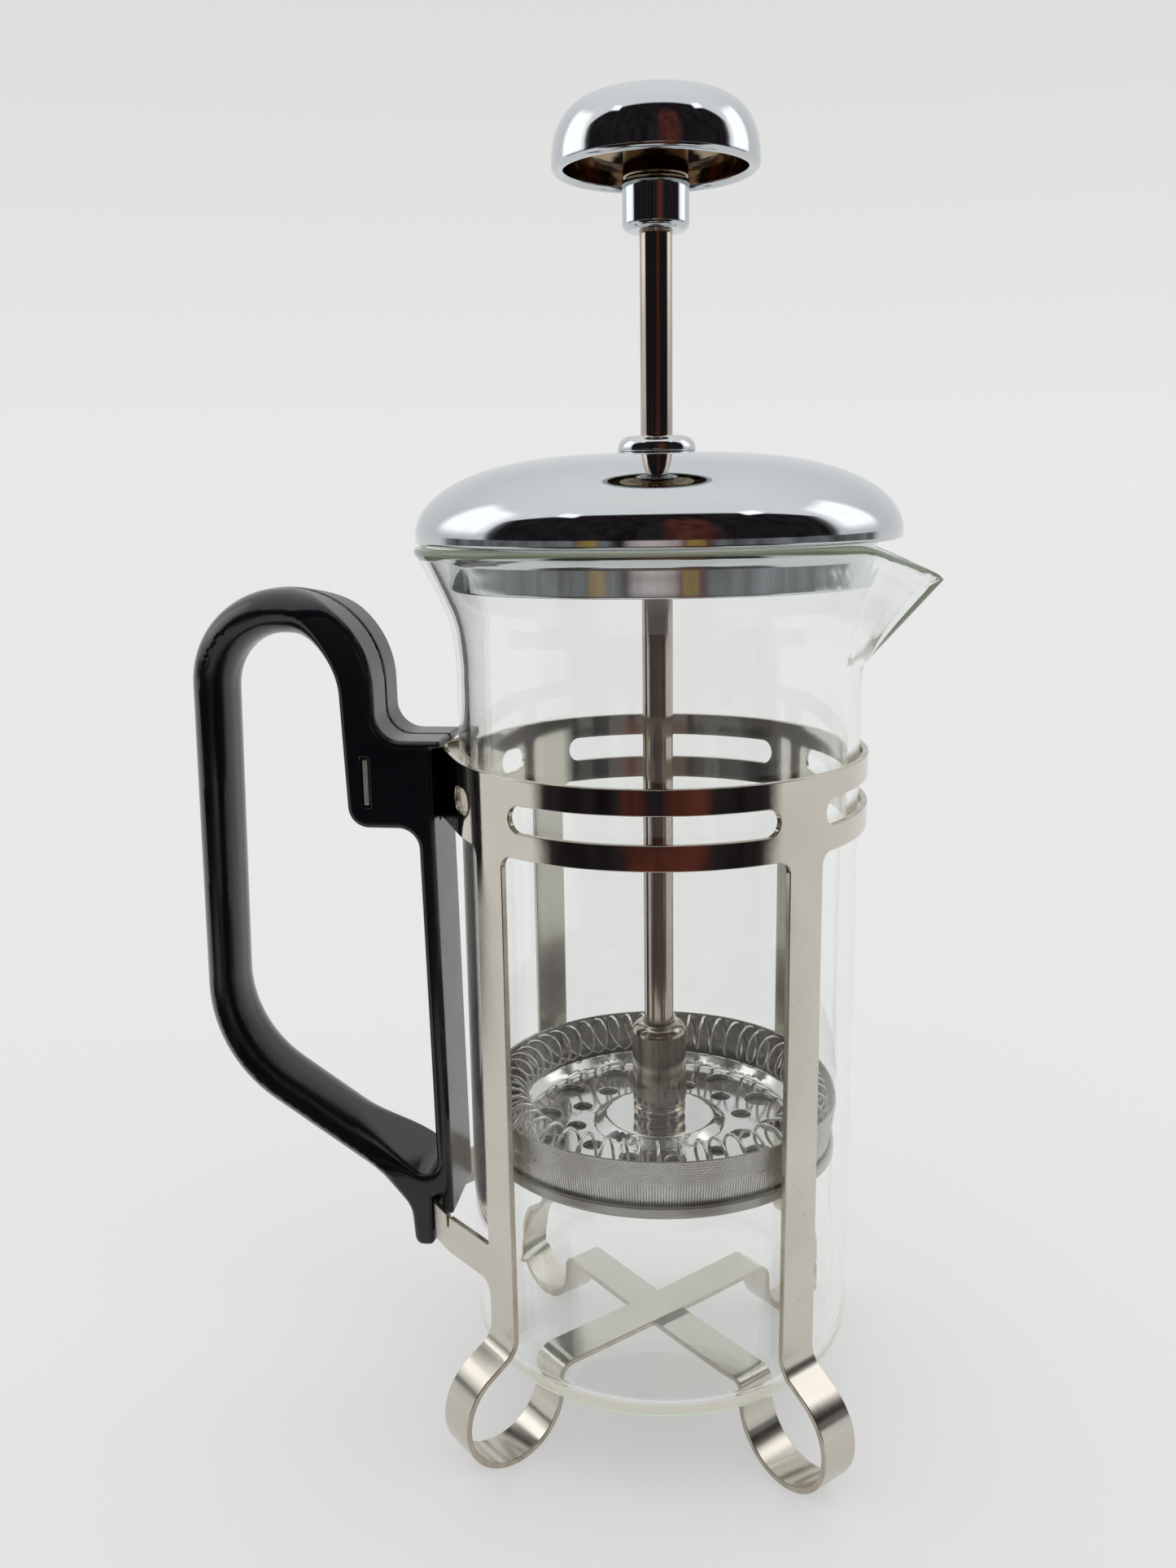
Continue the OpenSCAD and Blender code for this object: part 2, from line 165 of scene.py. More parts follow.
def mesh_object(name, verts, faces, material, marks=None):
    """An object from millimetre vertices. marks are per-vertex values that the material
    reads by name."""
    me = bpy.data.meshes.new(name)
    faces = faces.tolist() if isinstance(faces, np.ndarray) else faces
    me.from_pydata((np.asarray(verts) * MM).tolist(), [], faces)
    for key, values in (marks or {}).items():
        layer = me.attributes.new(key, "FLOAT", "POINT")
        layer.data.foreach_set("value", np.asarray(values, np.float32))
    me.materials.append(material)
    obj = bpy.data.objects.new(name, me)
    bpy.context.scene.collection.objects.link(obj)
    return obj


def piece(name, verts, faces, material, body, replaces=(), normals=None, marks=None):
    """A visible piece of the press, shaded smooth, on a CAD body."""
    obj = mesh_object(name, verts, faces, material, marks)
    me = obj.data
    me.polygons.foreach_set("use_smooth", [True] * len(me.polygons))
    me.update()
    if normals is not None:
        me.normals_split_custom_set_from_vertices(unit(normals).tolist())
    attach(obj, body)
    if replaces:
        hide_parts(*replaces)
    return obj


def revolve(profile, n=160, closed=False):
    """Vertices, faces and normals of a profile (radius, z) turned about Z. The profile
    runs with the solid on its left."""
    p = np.asarray(profile, float)
    m = side_normals(p, closed)
    a = np.arange(n) * 2 * math.pi / n
    rows, verts, norms = [], [], []
    count = 0
    for (r, z), (nr, nz) in zip(p, m):
        if r < 1e-6:
            verts.append([[0, 0, z]])
            norms.append([[0, 0, 1 if nz > 0 else -1]])
            rows.append(np.full(n, count))
            count += 1
        else:
            verts.append(polar(r, a, z))
            norms.append(polar(nr, a, nz))
            rows.append(count + np.arange(n))
            count += n
    faces = []
    pairs = list(zip(rows[:-1], rows[1:])) + ([(rows[-1], rows[0])] if closed else [])
    for lo, hi in pairs:
        lo1, hi1 = np.roll(lo, -1), np.roll(hi, -1)
        for q in zip(lo, lo1, hi1, hi):
            q = tuple(dict.fromkeys(q))
            if len(q) > 2:
                faces.append(q)
    return np.vstack(verts), faces, np.vstack(norms)


def lathe(name, profile, material, body, replaces=(), n=160, closed=False):
    v, f, m = revolve(profile, n, closed)
    return piece(name, v, f, material, body, replaces, m)


def inside(points, rings):
    """Even-odd test of points against all rings together."""
    hit = np.zeros(len(points), bool)
    x, y = points.T
    for ring in rings:
        for (ax, ay), (bx, by) in zip(ring, np.roll(ring, -1, 0)):
            if ay != by:
                span = (ay > y) != (by > y)
                hit ^= span & (x < (bx - ax) * (y - ay) / (by - ay) + ax)
    return hit


def ring_distance(points, rings):
    """Distance from each point to the nearest ring."""
    x, y = points.T.astype(np.float64)
    best = np.full(len(points), 1e9)
    for ring in rings:
        for (ax, ay), (bx, by) in zip(ring, np.roll(ring, -1, 0)):
            dx, dy = bx - ax, by - ay
            qx, qy = x - ax, y - ay
            t = np.clip((qx * dx + qy * dy) / max(dx * dx + dy * dy, 1e-12), 0, 1)
            best = np.minimum(best, (qx - t * dx) ** 2 + (qy - t * dy) ** 2)
    return np.sqrt(best)


def pressed_sheet(rings, place, thick, edge, step, joins=0):
    """A bent sheet with rounded edges, cut to rings in its flat plan. A ring is points
    and, for each, whether the side to the next point is a join: left open, to meet the
    sheet's own other end. place maps flat points to the middle of the sheet in space."""
    flat, cuts, strips = [], [], []
    total = 0
    for points, opens in rings:
        n = len(points)
        d = unit(np.roll(points, -1, 0) - points)
        after = np.where(opens[:, None], 0, d)
        before = np.roll(after, 1, 0)
        t = unit(before + after)
        m = np.stack([t[:, 1], -t[:, 0]], 1)
        ring, index = [], []
        for i in range(n):
            index.append(len(ring))
            ring.append(points[i] - edge * m[i])
            if opens[i]:
                j = (i + 1) % n
                a, b = ring[-1], points[j] - edge * m[j]
                ring += [a + (b - a) * k / (joins + 1) for k in range(1, joins + 1)]
        ring = np.array(ring)
        flat.append(ring)
        cuts += [(total + i, total + (i + 1) % len(ring)) for i in range(len(ring))]
        strips.append((points, m, opens, total + np.array(index)))
        total += len(ring)
    lo, hi = np.vstack(flat).min(0), np.vstack(flat).max(0)
    gx, gy = np.arange(lo[0], hi[0], step), np.arange(lo[1], hi[1], step * 0.866)
    grid = np.array([(x + (step / 2 if j % 2 else 0), y) for j, y in enumerate(gy) for x in gx])
    grid = grid[inside(grid, flat)]
    grid = grid[ring_distance(grid, flat) > 0.45 * step]
    points = np.vstack(flat + [grid])
    out = delaunay_2d_cdt([Vector(p) for p in points], cuts, [], 0, 1e-7)
    origin = np.array([o[0] for o in out[3]])
    tris = np.array([[origin[i] for i in f] for f in out[2]])
    middle = points[tris].mean(1)
    tris = tris[inside(middle, flat)]
    n = len(points)
    # top cap, bottom cap, then the rounded edge between them
    uv = [points, points]
    height = [np.full(n, thick / 2), np.full(n, -thick / 2)]
    lean = [np.tile([0.0, 0.0, 1.0], (n, 1)), np.tile([0.0, 0.0, -1.0], (n, 1))]
    rim = [np.zeros(2 * n)]
    faces = [tuple(t) for t in tris] + [tuple(t[::-1] + n) for t in tris]
    count = 2 * n
    for pts, m, opens, index in strips:
        rows = [index]
        for a, sign in ((30, 1), (60, 1), (90, 1), (90, -1), (60, -1), (30, -1)):
            s, c = math.sin(math.radians(a)), math.cos(math.radians(a))
            uv.append(pts + m * (edge * s - edge))
            height.append(np.full(len(pts), sign * (thick / 2 - edge + edge * c)))
            lean.append(np.column_stack([m * s, np.full(len(pts), sign * c)]))
            rim.append(np.full(len(pts), s))
            rows.append(count + np.arange(len(pts)))
            count += len(pts)
        rows.append(index + n)
        for i in range(len(pts)):
            if not opens[i]:
                j = (i + 1) % len(pts)
                faces += [(a[i], b[i], b[j], a[j]) for a, b in zip(rows[:-1], rows[1:])]
    uv, height, lean = np.vstack(uv), np.concatenate(height), np.vstack(lean)
    h = 0.01
    along = unit(place(uv + [h, 0]) - place(uv - [h, 0]))
    across = unit(place(uv + [0, h]) - place(uv - [0, h]))
    up = unit(np.cross(along, across))
    verts = place(uv) + height[:, None] * up
    norms = lean[:, :1] * along + lean[:, 1:2] * across + lean[:, 2:] * up
    return verts, faces, norms, np.concatenate(rim), uv


def weld(verts, faces, *values):
    """Merges vertices at the same place, and drops faces that vanish."""
    keys = np.round(verts, 3)
    _, first, back = np.unique(keys, axis=0, return_index=True, return_inverse=True)
    back = back.ravel()
    kept = []
    for f in faces:
        f = tuple(dict.fromkeys(int(back[i]) for i in f))
        if len(f) > 2:
            kept.append(f)
    return (verts[first], kept) + tuple(v[first] for v in values)


# ---- materials

class Graph:
    """The node tree of a material or world, with short ways to add and join nodes."""

    def __init__(self, owner):
        owner.use_nodes = True
        self.owner = owner
        self.nodes, self.links = owner.node_tree.nodes, owner.node_tree.links

    def put(self, socket, value):
        """Joins another node's output to a socket, or gives the socket a value."""
        if isinstance(value, bpy.types.NodeSocket):
            self.links.new(value, socket)
        else:
            socket.default_value = (*value, 1) if socket.type == "RGBA" else value

    def feed(self, node, **inputs):
        """Fills a node's inputs; _ in their names stands for a space."""
        for key, value in inputs.items():
            self.put(node.inputs[key.replace("_", " ")], value)

    def add(self, kind, output, **inputs):
        """An output of a new node."""
        node = self.nodes.new("ShaderNode" + kind)
        self.feed(node, **inputs)
        return node.outputs[output]

    def surface(self, **inputs):
        """Fills the inputs of a material's own shader."""
        self.feed(self.nodes["Principled BSDF"], **inputs)

    def noise(self, scale, detail=3.0, stretch=(1, 1, 1), rough=0.5):
        """A noise value over the object, scale per millimetre, stretched along an axis."""
        at = self.add("Mapping", "Vector", Vector=self.add("TexCoord", "Object"),
                      Scale=[s * 1000 for s in stretch])
        return self.add("TexNoise", "Fac", Vector=at, Scale=scale, Detail=detail, Roughness=rough)

    def spread(self, value, lo, hi, start=0.3, end=0.7):
        """value from start to end, brought to lo to hi."""
        return self.add("MapRange", "Result", Value=value, From_Min=start, From_Max=end,
                        To_Min=lo, To_Max=hi)

    def blend(self, factor, a, b):
        """Colour a where factor is 0, b where it is 1; a and b are colours or outputs."""
        node = self.nodes.new("ShaderNodeMix")
        node.data_type = "RGBA"
        self.feed(node, Factor=factor)
        for key, value in (("A", a), ("B", b)):
            self.put([s for s in node.inputs if s.name == key and s.type == "RGBA"][0], value)
        return [s for s in node.outputs if s.type == "RGBA"][0]

    def calc(self, kind, a, b):
        node = self.nodes.new("ShaderNodeMath")
        node.operation = kind
        self.put(node.inputs[0], a)
        self.put(node.inputs[1], b)
        return node.outputs["Value"]

    def bump(self, height, distance, strength):
        self.surface(Normal=self.add("Bump", "Normal", Strength=strength,
                                     Distance=distance * MM, Height=height))

    def mark(self, name):
        """A per-vertex value of the mesh."""
        node = self.nodes.new("ShaderNodeAttribute")
        node.attribute_name = name
        return node.outputs["Fac"]


def new_material(name):
    return Graph(bpy.data.materials.new(name))


def metal(name, light, dark, rough, grain=(1, 1, 1), grain_scale=1.2, grain_height=0.004,
          smudge=0.06, streak=(1, 1, 1)):
    """Bare metal: tone varies in soft clouds, roughness in smudges, with a fine grain."""
    g = new_material(name)
    cloud = g.spread(g.noise(0.06, 4, streak), 0, 1)
    wipe = g.noise(0.09, 5, (1, 1, 0.6), 0.6)
    g.surface(Metallic=1, Base_Color=g.blend(cloud, light, dark),
              Roughness=g.spread(wipe, rough, rough + smudge))
    g.bump(g.noise(grain_scale, 2, grain), grain_height, 0.5)
    return g.owner


chrome = metal("chrome", (0.60, 0.625, 0.64), (0.56, 0.585, 0.60), 0.025,
               grain_scale=0.35, grain_height=0.002, smudge=0.035)
# painted shade: a darker, browner copy of chrome for the inside of the knob and its stem, which
# stand in the knob's shade
shaded_chrome = metal("chrome_painted_shade", (0.42, 0.34, 0.25), (0.30, 0.225, 0.15), 0.05,
                     grain_scale=0.6, grain_height=0.004)
# painted reflection: the tone runs from light steel to dark brown in upright streaks, standing in
# for the brown room that these turned parts reflect
turned = metal("turned_steel_painted_reflection", (0.84, 0.79, 0.70), (0.17, 0.125, 0.08), 0.08,
               grain=(2.5, 2.5, 0.12), grain_height=0.004, smudge=0.06, streak=(8, 8, 0.15))
rod_steel = metal("polished_rod", (0.54, 0.48, 0.43), (0.38, 0.31, 0.26), 0.06,
                  grain=(2.2, 2.2, 0.12), grain_height=0.003)
plate_steel = metal("plate_steel", (0.74, 0.735, 0.72), (0.66, 0.655, 0.64), 0.07,
                    grain_height=0.004)
wire_steel = metal("spring_wire", (0.84, 0.83, 0.80), (0.74, 0.73, 0.70), 0.14)
lock_steel = metal("brushed_steel", (0.88, 0.87, 0.85), (0.76, 0.75, 0.73), 0.44)
rim_steel = metal("dull_steel", (0.42, 0.40, 0.37), (0.33, 0.31, 0.285), 0.30,
                  grain_height=0.010, smudge=0.12)


def frame_metal():
    """Stainless sheet: mirror finish on the band, satin with fine pits on the legs, and
    browner along the sheared edges."""
    g = new_material("stainless_sheet")
    cloud = g.spread(g.noise(0.05, 4), 0, 1)
    base = g.blend(cloud, (0.67, 0.635, 0.57), (0.59, 0.555, 0.485))
    pits = g.spread(g.noise(1.6, 4, rough=0.7), 0, 1, 0.60, 0.74)
    pits = g.calc("MULTIPLY", g.calc("MULTIPLY", pits, g.mark("satin")), 0.62)
    base = g.blend(pits, base, (0.36, 0.33, 0.28))
    shear = g.spread(g.noise(0.5, 3, (1, 1, 0.25)), 0.35, 0.95)
    base = g.blend(g.calc("MULTIPLY", shear, g.mark("edge")), base, (0.40, 0.345, 0.27))
    wipe = g.spread(g.noise(0.12, 5, (1, 1, 0.5), 0.6), 0.0, 0.06)
    satin = g.spread(g.mark("satin"), 0.045, 0.235, 0, 1)
    g.surface(Metallic=1, Base_Color=base, Roughness=g.calc("ADD", satin, wipe))
    g.bump(g.noise(1.4, 3, (1, 1, 0.35)), 0.006, 0.4)
    return g.owner


def black_plastic():
    """Glossy moulded plastic with the faint ripple of its mould and worn, duller patches."""
    g = new_material("moulded_black")
    cloud = g.spread(g.noise(0.05, 3), 0, 1)
    g.surface(Base_Color=g.blend(cloud, (0.0022, 0.0024, 0.0042), (0.0040, 0.0042, 0.0065)),
              IOR=1.5, Roughness=g.spread(g.noise(0.11, 5, rough=0.65), 0.15, 0.23))
    g.bump(g.noise(0.45, 2), 0.010, 0.35)
    return g.owner


def beaker_glass():
    """Clear borosilicate: tinted by depth, so its rim reads green and its wall doesn't; rays
    trapped in the wall get a painted glow.
    """
    g = new_material("clear_glass")
    haze = g.noise(0.04, 4)
    tint = g.blend(g.spread(haze, 0, 1), (1.0, 1.0, 1.0), (0.985, 0.992, 0.988))
    depth = g.add("VolumeAbsorption", "Volume", Color=(0.50, 0.86, 0.52), Density=7)
    g.feed(g.nodes["Material Output"], Volume=depth)
    # painted glow: a ray that the glass turns back inside its wall more than three times gets
    # emitted light, grey at the base and green at the rim, so the wall reads pale, not black
    painted_glow_rays = g.calc("GREATER_THAN", g.add("LightPath", "Glossy Depth"), 3.5)
    height = g.add("SeparateXYZ", "Z", Vector=g.add("TexCoord", "Object"))
    high = g.spread(height, 0, 1, 0.10, 0.14)
    g.surface(Base_Color=tint, Roughness=g.spread(haze, 0.0, 0.012, 0.45, 0.75),
              Transmission_Weight=1, IOR=1.47, Emission_Strength=painted_glow_rays,
              Emission_Color=g.blend(high, (0.30, 0.268, 0.25), (0.06, 0.07, 0.047)))
    return g.owner


def woven_steel():
    """Fine woven wire, with painted shade: darker where the wire dips between the wires, lighter on
    its crowns.
    """
    g = new_material("woven_wire_painted_shade")
    # painted shade: the colour runs from dark where the weave dips to light on its crowns
    high = g.spread(g.mark("crown"), 0, 1, -0.6, 0.8)
    cloud = g.spread(g.noise(0.08, 4), 0.0, 0.25)
    base = g.blend(high, (0.22, 0.21, 0.195), (0.80, 0.775, 0.735))
    g.surface(Metallic=1, Base_Color=g.blend(cloud, base, (0.40, 0.37, 0.32)),
              Roughness=g.spread(g.noise(0.5, 3), 0.22, 0.36))
    return g.owner


sheet_steel = frame_metal()
plastic = black_plastic()
glass = beaker_glass()
weave = woven_steel()

# ---- pressed frame

band_lo, band_hi = cad("frame_band")
SHEET = 1.0
BAND_BOTTOM, BAND_TOP = band_lo[2], band_hi[2]
SHEET_R = band_hi[0] - SHEET / 2
BAND_MID = (BAND_BOTTOM + BAND_TOP) / 2
SLOT_HIGH, SLOTS = 4.2, ((0, 76), (90, 72), (-90, 72), (151, 12), (-151, 12))
LEG_HALF = 3.4
LEG_FLATTENS = 55
TAIL_AT = 155.0
TAIL_Y = 0.62
TAIL_BOTTOM = BAND_BOTTOM + 0.8
TAIL_END = -band_lo[0]
# the height of the strap under the beaker that each leg runs into, by the leg's angle
LEGS = {-135.0: 12.8, -45.0: 11.8, 45.0: 12.8, 135.0: 11.8}
ARMED = (-135.0, 135.0)
# how far round the plan from a leg's middle everything belongs to the leg, or to its arm
LEG_SPAN, ARM_SPAN = 10, 40
FOOT_R, FOOT_AT = 9.2, (SHEET_R + 0.3, 9.6)
ARM_LO, ARM_HI = cad("handle_bracket")[0][2], cad("handle_bracket")[1][2]
ARM_FOLD, ARM_CORNER = (34.8, 13.15), (38.4, 8.7)


def band_plan():
    """The band's plan from one turned-out end round to the other, and the length along
    it at which the ring begins."""
    a = math.radians(TAIL_AT)
    start = SHEET_R * np.array([math.cos(a), -math.sin(a)])
    back = np.array([-math.sin(a), -math.cos(a)])
    bend = start + back * (-TAIL_Y - start[1]) / back[1]
    lead = rounded([(-TAIL_END, -TAIL_Y), (bend[0], -TAIL_Y, 1.3), tuple(start)], turn=4)
    ring = arc((0, 0), SHEET_R, -TAIL_AT, TAIL_AT, 900)
    tail = lead[::-1] * [1, -1]
    path = np.vstack([lead[:-1], ring, tail[1:]])
    length = run_length(path)
    return path, length, length[len(lead) - 1]


def leg_path(strap_z):
    """Side view (distance from the axis, z) of a leg from the start of its bend, out
    round the rolled foot, back up and under the beaker to the middle."""
    turn_in = strap_z - FOOT_AT[1]
    bend_r = 4.0
    bend_z = FOOT_AT[1] + FOOT_R * math.sin(math.radians(60)) + bend_r * math.tan(
        math.radians(30)) + (FOOT_AT[0] + FOOT_R * 0.5 - SHEET_R) * math.tan(math.radians(30))
    path = np.vstack([
        arc((SHEET_R + bend_r, bend_z), bend_r, 180, 240, 24),
        arc(FOOT_AT, FOOT_R, 60, -180, 160),
        arc((FOOT_AT[0] - FOOT_R - turn_in, FOOT_AT[1]), turn_in, 0, 90, 40)[1:],
        [[0.0, strap_z]]])
    length = run_length(path)
    return path, length, bend_z


def arm_path(side):
    """Plan of a bracket arm from the leg's middle out to the handle bar's middle, as
    seen along the leg's own tangent; side is -1 for the leg at -135."""
    a = math.radians(135 * side)
    out, along = np.array([math.cos(a), math.sin(a)]), np.array([-math.sin(a), math.cos(a)])
    edge = SHEET_R * out + side * (LEG_HALF + 1) * along
    path = rounded([tuple(SHEET_R * out), (*edge, 3.0), (-ARM_FOLD[0], side * ARM_FOLD[1], 1.2),
                    (-ARM_CORNER[0], side * ARM_CORNER[1], 1.6), (-ARM_CORNER[0], 0.0)], turn=4)
    length = run_length(path)
    return path, length


PLAN, PLAN_LENGTH, RING_START = band_plan()
LEG_U = {a: RING_START + SHEET_R * math.radians(a + TAIL_AT) for a in LEGS}
LEG_PATH = {a: leg_path(z) for a, z in LEGS.items()}
ARM = {s: arm_path(s) for s in (-1, 1)}
BEND_Z = LEG_PATH[45.0][2]
WIRE_END = {a: BEND_Z - LEG_PATH[a][1][-1] for a in LEGS}


def extended(x, xs, ys):
    """np.interp that runs on straight past both ends."""
    y = np.interp(x, xs, ys)
    y = np.where(x < xs[0], ys[0] + (x - xs[0]) * (ys[1] - ys[0]) / (xs[1] - xs[0]), y)
    return np.where(x > xs[-1],
                    ys[-1] + (x - xs[-1]) * (ys[-1] - ys[-2]) / (xs[-1] - xs[-2]), y)


def place_frame(uv):
    """Flat plan of the whole stamping (length round the band, height) to its place."""
    u, s = uv[:, 0], uv[:, 1]
    out = np.stack([extended(u, PLAN_LENGTH, PLAN[:, 0]),
                    extended(u, PLAN_LENGTH, PLAN[:, 1]), s], 1)
    for a, at in LEG_U.items():
        side = -1 if a < 0 else 1
        # distance from the leg's middle, positive towards the handle
        w = side * (u - at)
        reach = ARM_SPAN if a in ARMED else LEG_SPAN
        mine = (s < BAND_BOTTOM - 1e-9) & (w > -LEG_SPAN) & (w < reach)
        v, w = (u - at)[mine], w[mine]
        path, length, bend = LEG_PATH[a]
        down = bend - s[mine]
        rho = np.where(down > 0, extended(down, length, path[:, 0]), SHEET_R)
        z = np.where(down > 0, extended(down, length, path[:, 1]), s[mine])
        ang = math.radians(a)
        flat_x, flat_y = (rho * math.cos(ang) - v * math.sin(ang),
                          rho * math.sin(ang) + v * math.cos(ang))
        round_a = ang + v / SHEET_R
        t = smooth((BAND_BOTTOM - s[mine]) / LEG_FLATTENS)
        x = flat_x * t + SHEET_R * np.cos(round_a) * (1 - t)
        y = flat_y * t + SHEET_R * np.sin(round_a) * (1 - t)
        if a in ARMED:
            arm, arm_length = ARM[side]
            on_arm = (w > LEG_HALF * 0.5) & (s[mine] > BEND_Z + 2) & (s[mine] < 45)
            x = np.where(on_arm, extended(w, arm_length, arm[:, 0]), x)
            y = np.where(on_arm, extended(w, arm_length, arm[:, 1]), y)
        out[mine] = np.stack([x, y, z], 1)
    return out


def slot_ring(at, angle):
    """A round-ended slot, clockwise, centred at an angle round the band."""
    u = RING_START + SHEET_R * math.radians(at + TAIL_AT)
    half, r = SHEET_R * math.radians(angle) / 2, SLOT_HIGH / 2
    ring = np.vstack([arc((u + half - r, BAND_MID), r, 90, -90, 18),
                      arc((u - half + r, BAND_MID), r, 270, 90, 18)])
    ring = spaced(ring, 1.0, closed=True)
    return ring, np.zeros(len(ring), bool)


def frame_rings():
    """The stamping's flat outline and its slots, for pressed_sheet."""
    end_u = PLAN_LENGTH[-1]
    step_in, step_out = TAIL_END - 37.4, TAIL_END - 37.0
    corners = [(0, TAIL_BOTTOM, 0.5), (step_in, TAIL_BOTTOM, 0.4), (step_out, BAND_BOTTOM, 0.4)]
    joins = []
    for a in sorted(LEGS):
        lo, hi, end = LEG_U[a] - LEG_HALF, LEG_U[a] + LEG_HALF, WIRE_END[a]
        left, right = [], []
        if a in ARMED:
            side = -1 if a < 0 else 1
            reach = ARM[side][1][-1]
            edge, tip = (lo, LEG_U[a] - reach) if side < 0 else (hi, LEG_U[a] + reach)
            fold = LEG_U[a] + side * (LEG_HALF + 12.1)
            arm = [(edge, ARM_HI, 0.7), (fold - side * 0.45, ARM_HI, 0.24),
                   (fold - side * 0.3, ARM_HI - 2.0, 0.25), (fold + side * 0.3, ARM_HI - 2.0, 0.25),
                   (fold + side * 0.45, ARM_HI, 0.24), (tip, ARM_HI, 0), (tip, ARM_LO, 0),
                   (edge, ARM_LO, 2.4)]
            if side < 0:
                left = arm
            else:
                right = arm[::-1]
        corners += [(lo, BAND_BOTTOM, 2.0)] + left + [(lo, end, 0), (hi, end, 0)] + right + [
            (hi, BAND_BOTTOM, 2.0)]
        joins += [(lo, end), (hi, end)]
        if left or right:
            joins += [(tip, ARM_HI), (tip, ARM_LO)]
    corners += [(end_u - step_out, BAND_BOTTOM, 0.4), (end_u - step_in, TAIL_BOTTOM, 0.4),
                (end_u, TAIL_BOTTOM, 0.5), (end_u, BAND_TOP, 0.5), (0, BAND_TOP, 0.5)]
    raw = rounded(corners, closed=True)
    ends = np.array(joins)
    at_end = [np.abs(ends - p).sum(1).min() < 1e-6 for p in raw]
    points, opens = [], []
    for i, p in enumerate(raw):
        q = raw[(i + 1) % len(raw)]
        joined = at_end[i] and at_end[(i + 1) % len(raw)] and (
            abs(p[1] - q[1]) < 1e-9 or abs(p[0] - q[0]) < 1e-9) and np.linalg.norm(q - p) < 7.5
        k = 1 if joined else max(1, math.ceil(np.linalg.norm(q - p) / 1.0))
        for j in range(k):
            points.append(p + (q - p) * j / k)
            opens.append(joined)
    rings = [(np.array(points), np.array(opens))]
    return rings + [slot_ring(at, angle) for at, angle in SLOTS]


verts, faces, norms, rim, flat_uv = pressed_sheet(frame_rings(), place_frame, SHEET, 0.16, 0.95,
                                                 joins=6)
verts, faces, norms, rim, flat_uv = weld(verts, faces, norms, rim, flat_uv)
satin = np.clip((BAND_BOTTOM - 1 - flat_uv[:, 1]) / 9, 0, 1)
satin = satin * np.clip((flat_uv[:, 1] - (BEND_Z - 9)) / 8, 0.45, 1)
piece("pressed_frame", verts, faces, sheet_steel, "frame",
      ["frame_band", "leg_handle_right", "leg_handle_left", "leg_spout_right", "leg_spout_left",
       "base_strap_upper", "base_strap_lower", "handle_bracket"], norms,
      {"edge": rim, "satin": satin})

# ---- handle

handle_lo, handle_hi = cad("handle")
REACH, HANDLE_TOP, HANDLE_HALF = -handle_lo[0] - 0.8, handle_hi[2], handle_hi[1]
HEAD_TOP, HEAD_LOW = BAND_TOP + 1.6, BAND_BOTTOM - 1.1

handle_outside = rounded([
    (-34.9, HEAD_TOP, 0.4), (-34.9, BAND_TOP + 0.2, 0.1), (-36.3, BAND_TOP + 0.2, 0.1),
    (-36.3, HEAD_LOW, 0.6), (-35.6, 33.6, 0.5), (-37.7, 33.6, 0.4), (-37.7, 36.9, 0.3),
    (-39.1, 36.9, 0.3), (-39.2, 27.3, 1.2), (-42.8, 27.3, 1.6), (-43.4, 34.6, 4),
    (-REACH - 0.9, 60, 26), (-REACH + 1.2, HANDLE_TOP, 16),
    (-REACH + 33.2, HANDLE_TOP, 16), (-45.6, HEAD_TOP, 4.5)], closed=True, turn=4)
handle_gap = rounded([
    (-REACH + 7.4, HANDLE_TOP - 7.4, 10), (-51.8, HANDLE_TOP - 7.4, 10),
    (-50.8, HEAD_LOW, 3.5), (-39.1, HEAD_LOW, 3.5), (-38.2, 38.6, 2.5),
    (-REACH + 5.0, 63.7, 20)], closed=True, turn=4)


EDGE_R, OVAL_WIDE, OVAL_DEEP = 1.15, 5.25, 7.35
GRIP_FROM, ARM_OF_GRIP_Z = 51, 60
GROOVE_HALF, GROOVE_DEEP = 0.32, 0.45


def plan_distance(p):
    """Signed distance to the handle's outline in its own plane, negative inside."""
    flat, back = np.unique(np.round(p[:, [0, 2]], 5), axis=0, return_inverse=True)
    rings = [handle_outside, handle_gap]
    d = ring_distance(flat, rings) * np.where(inside(flat, rings), -1, 1)
    return d[back.ravel()]


def block(p, centre, half):
    """Signed distance to a box."""
    q = np.abs(p - centre) - half
    return np.linalg.norm(np.maximum(q, 0), axis=1) + np.minimum(q.max(1), 0)


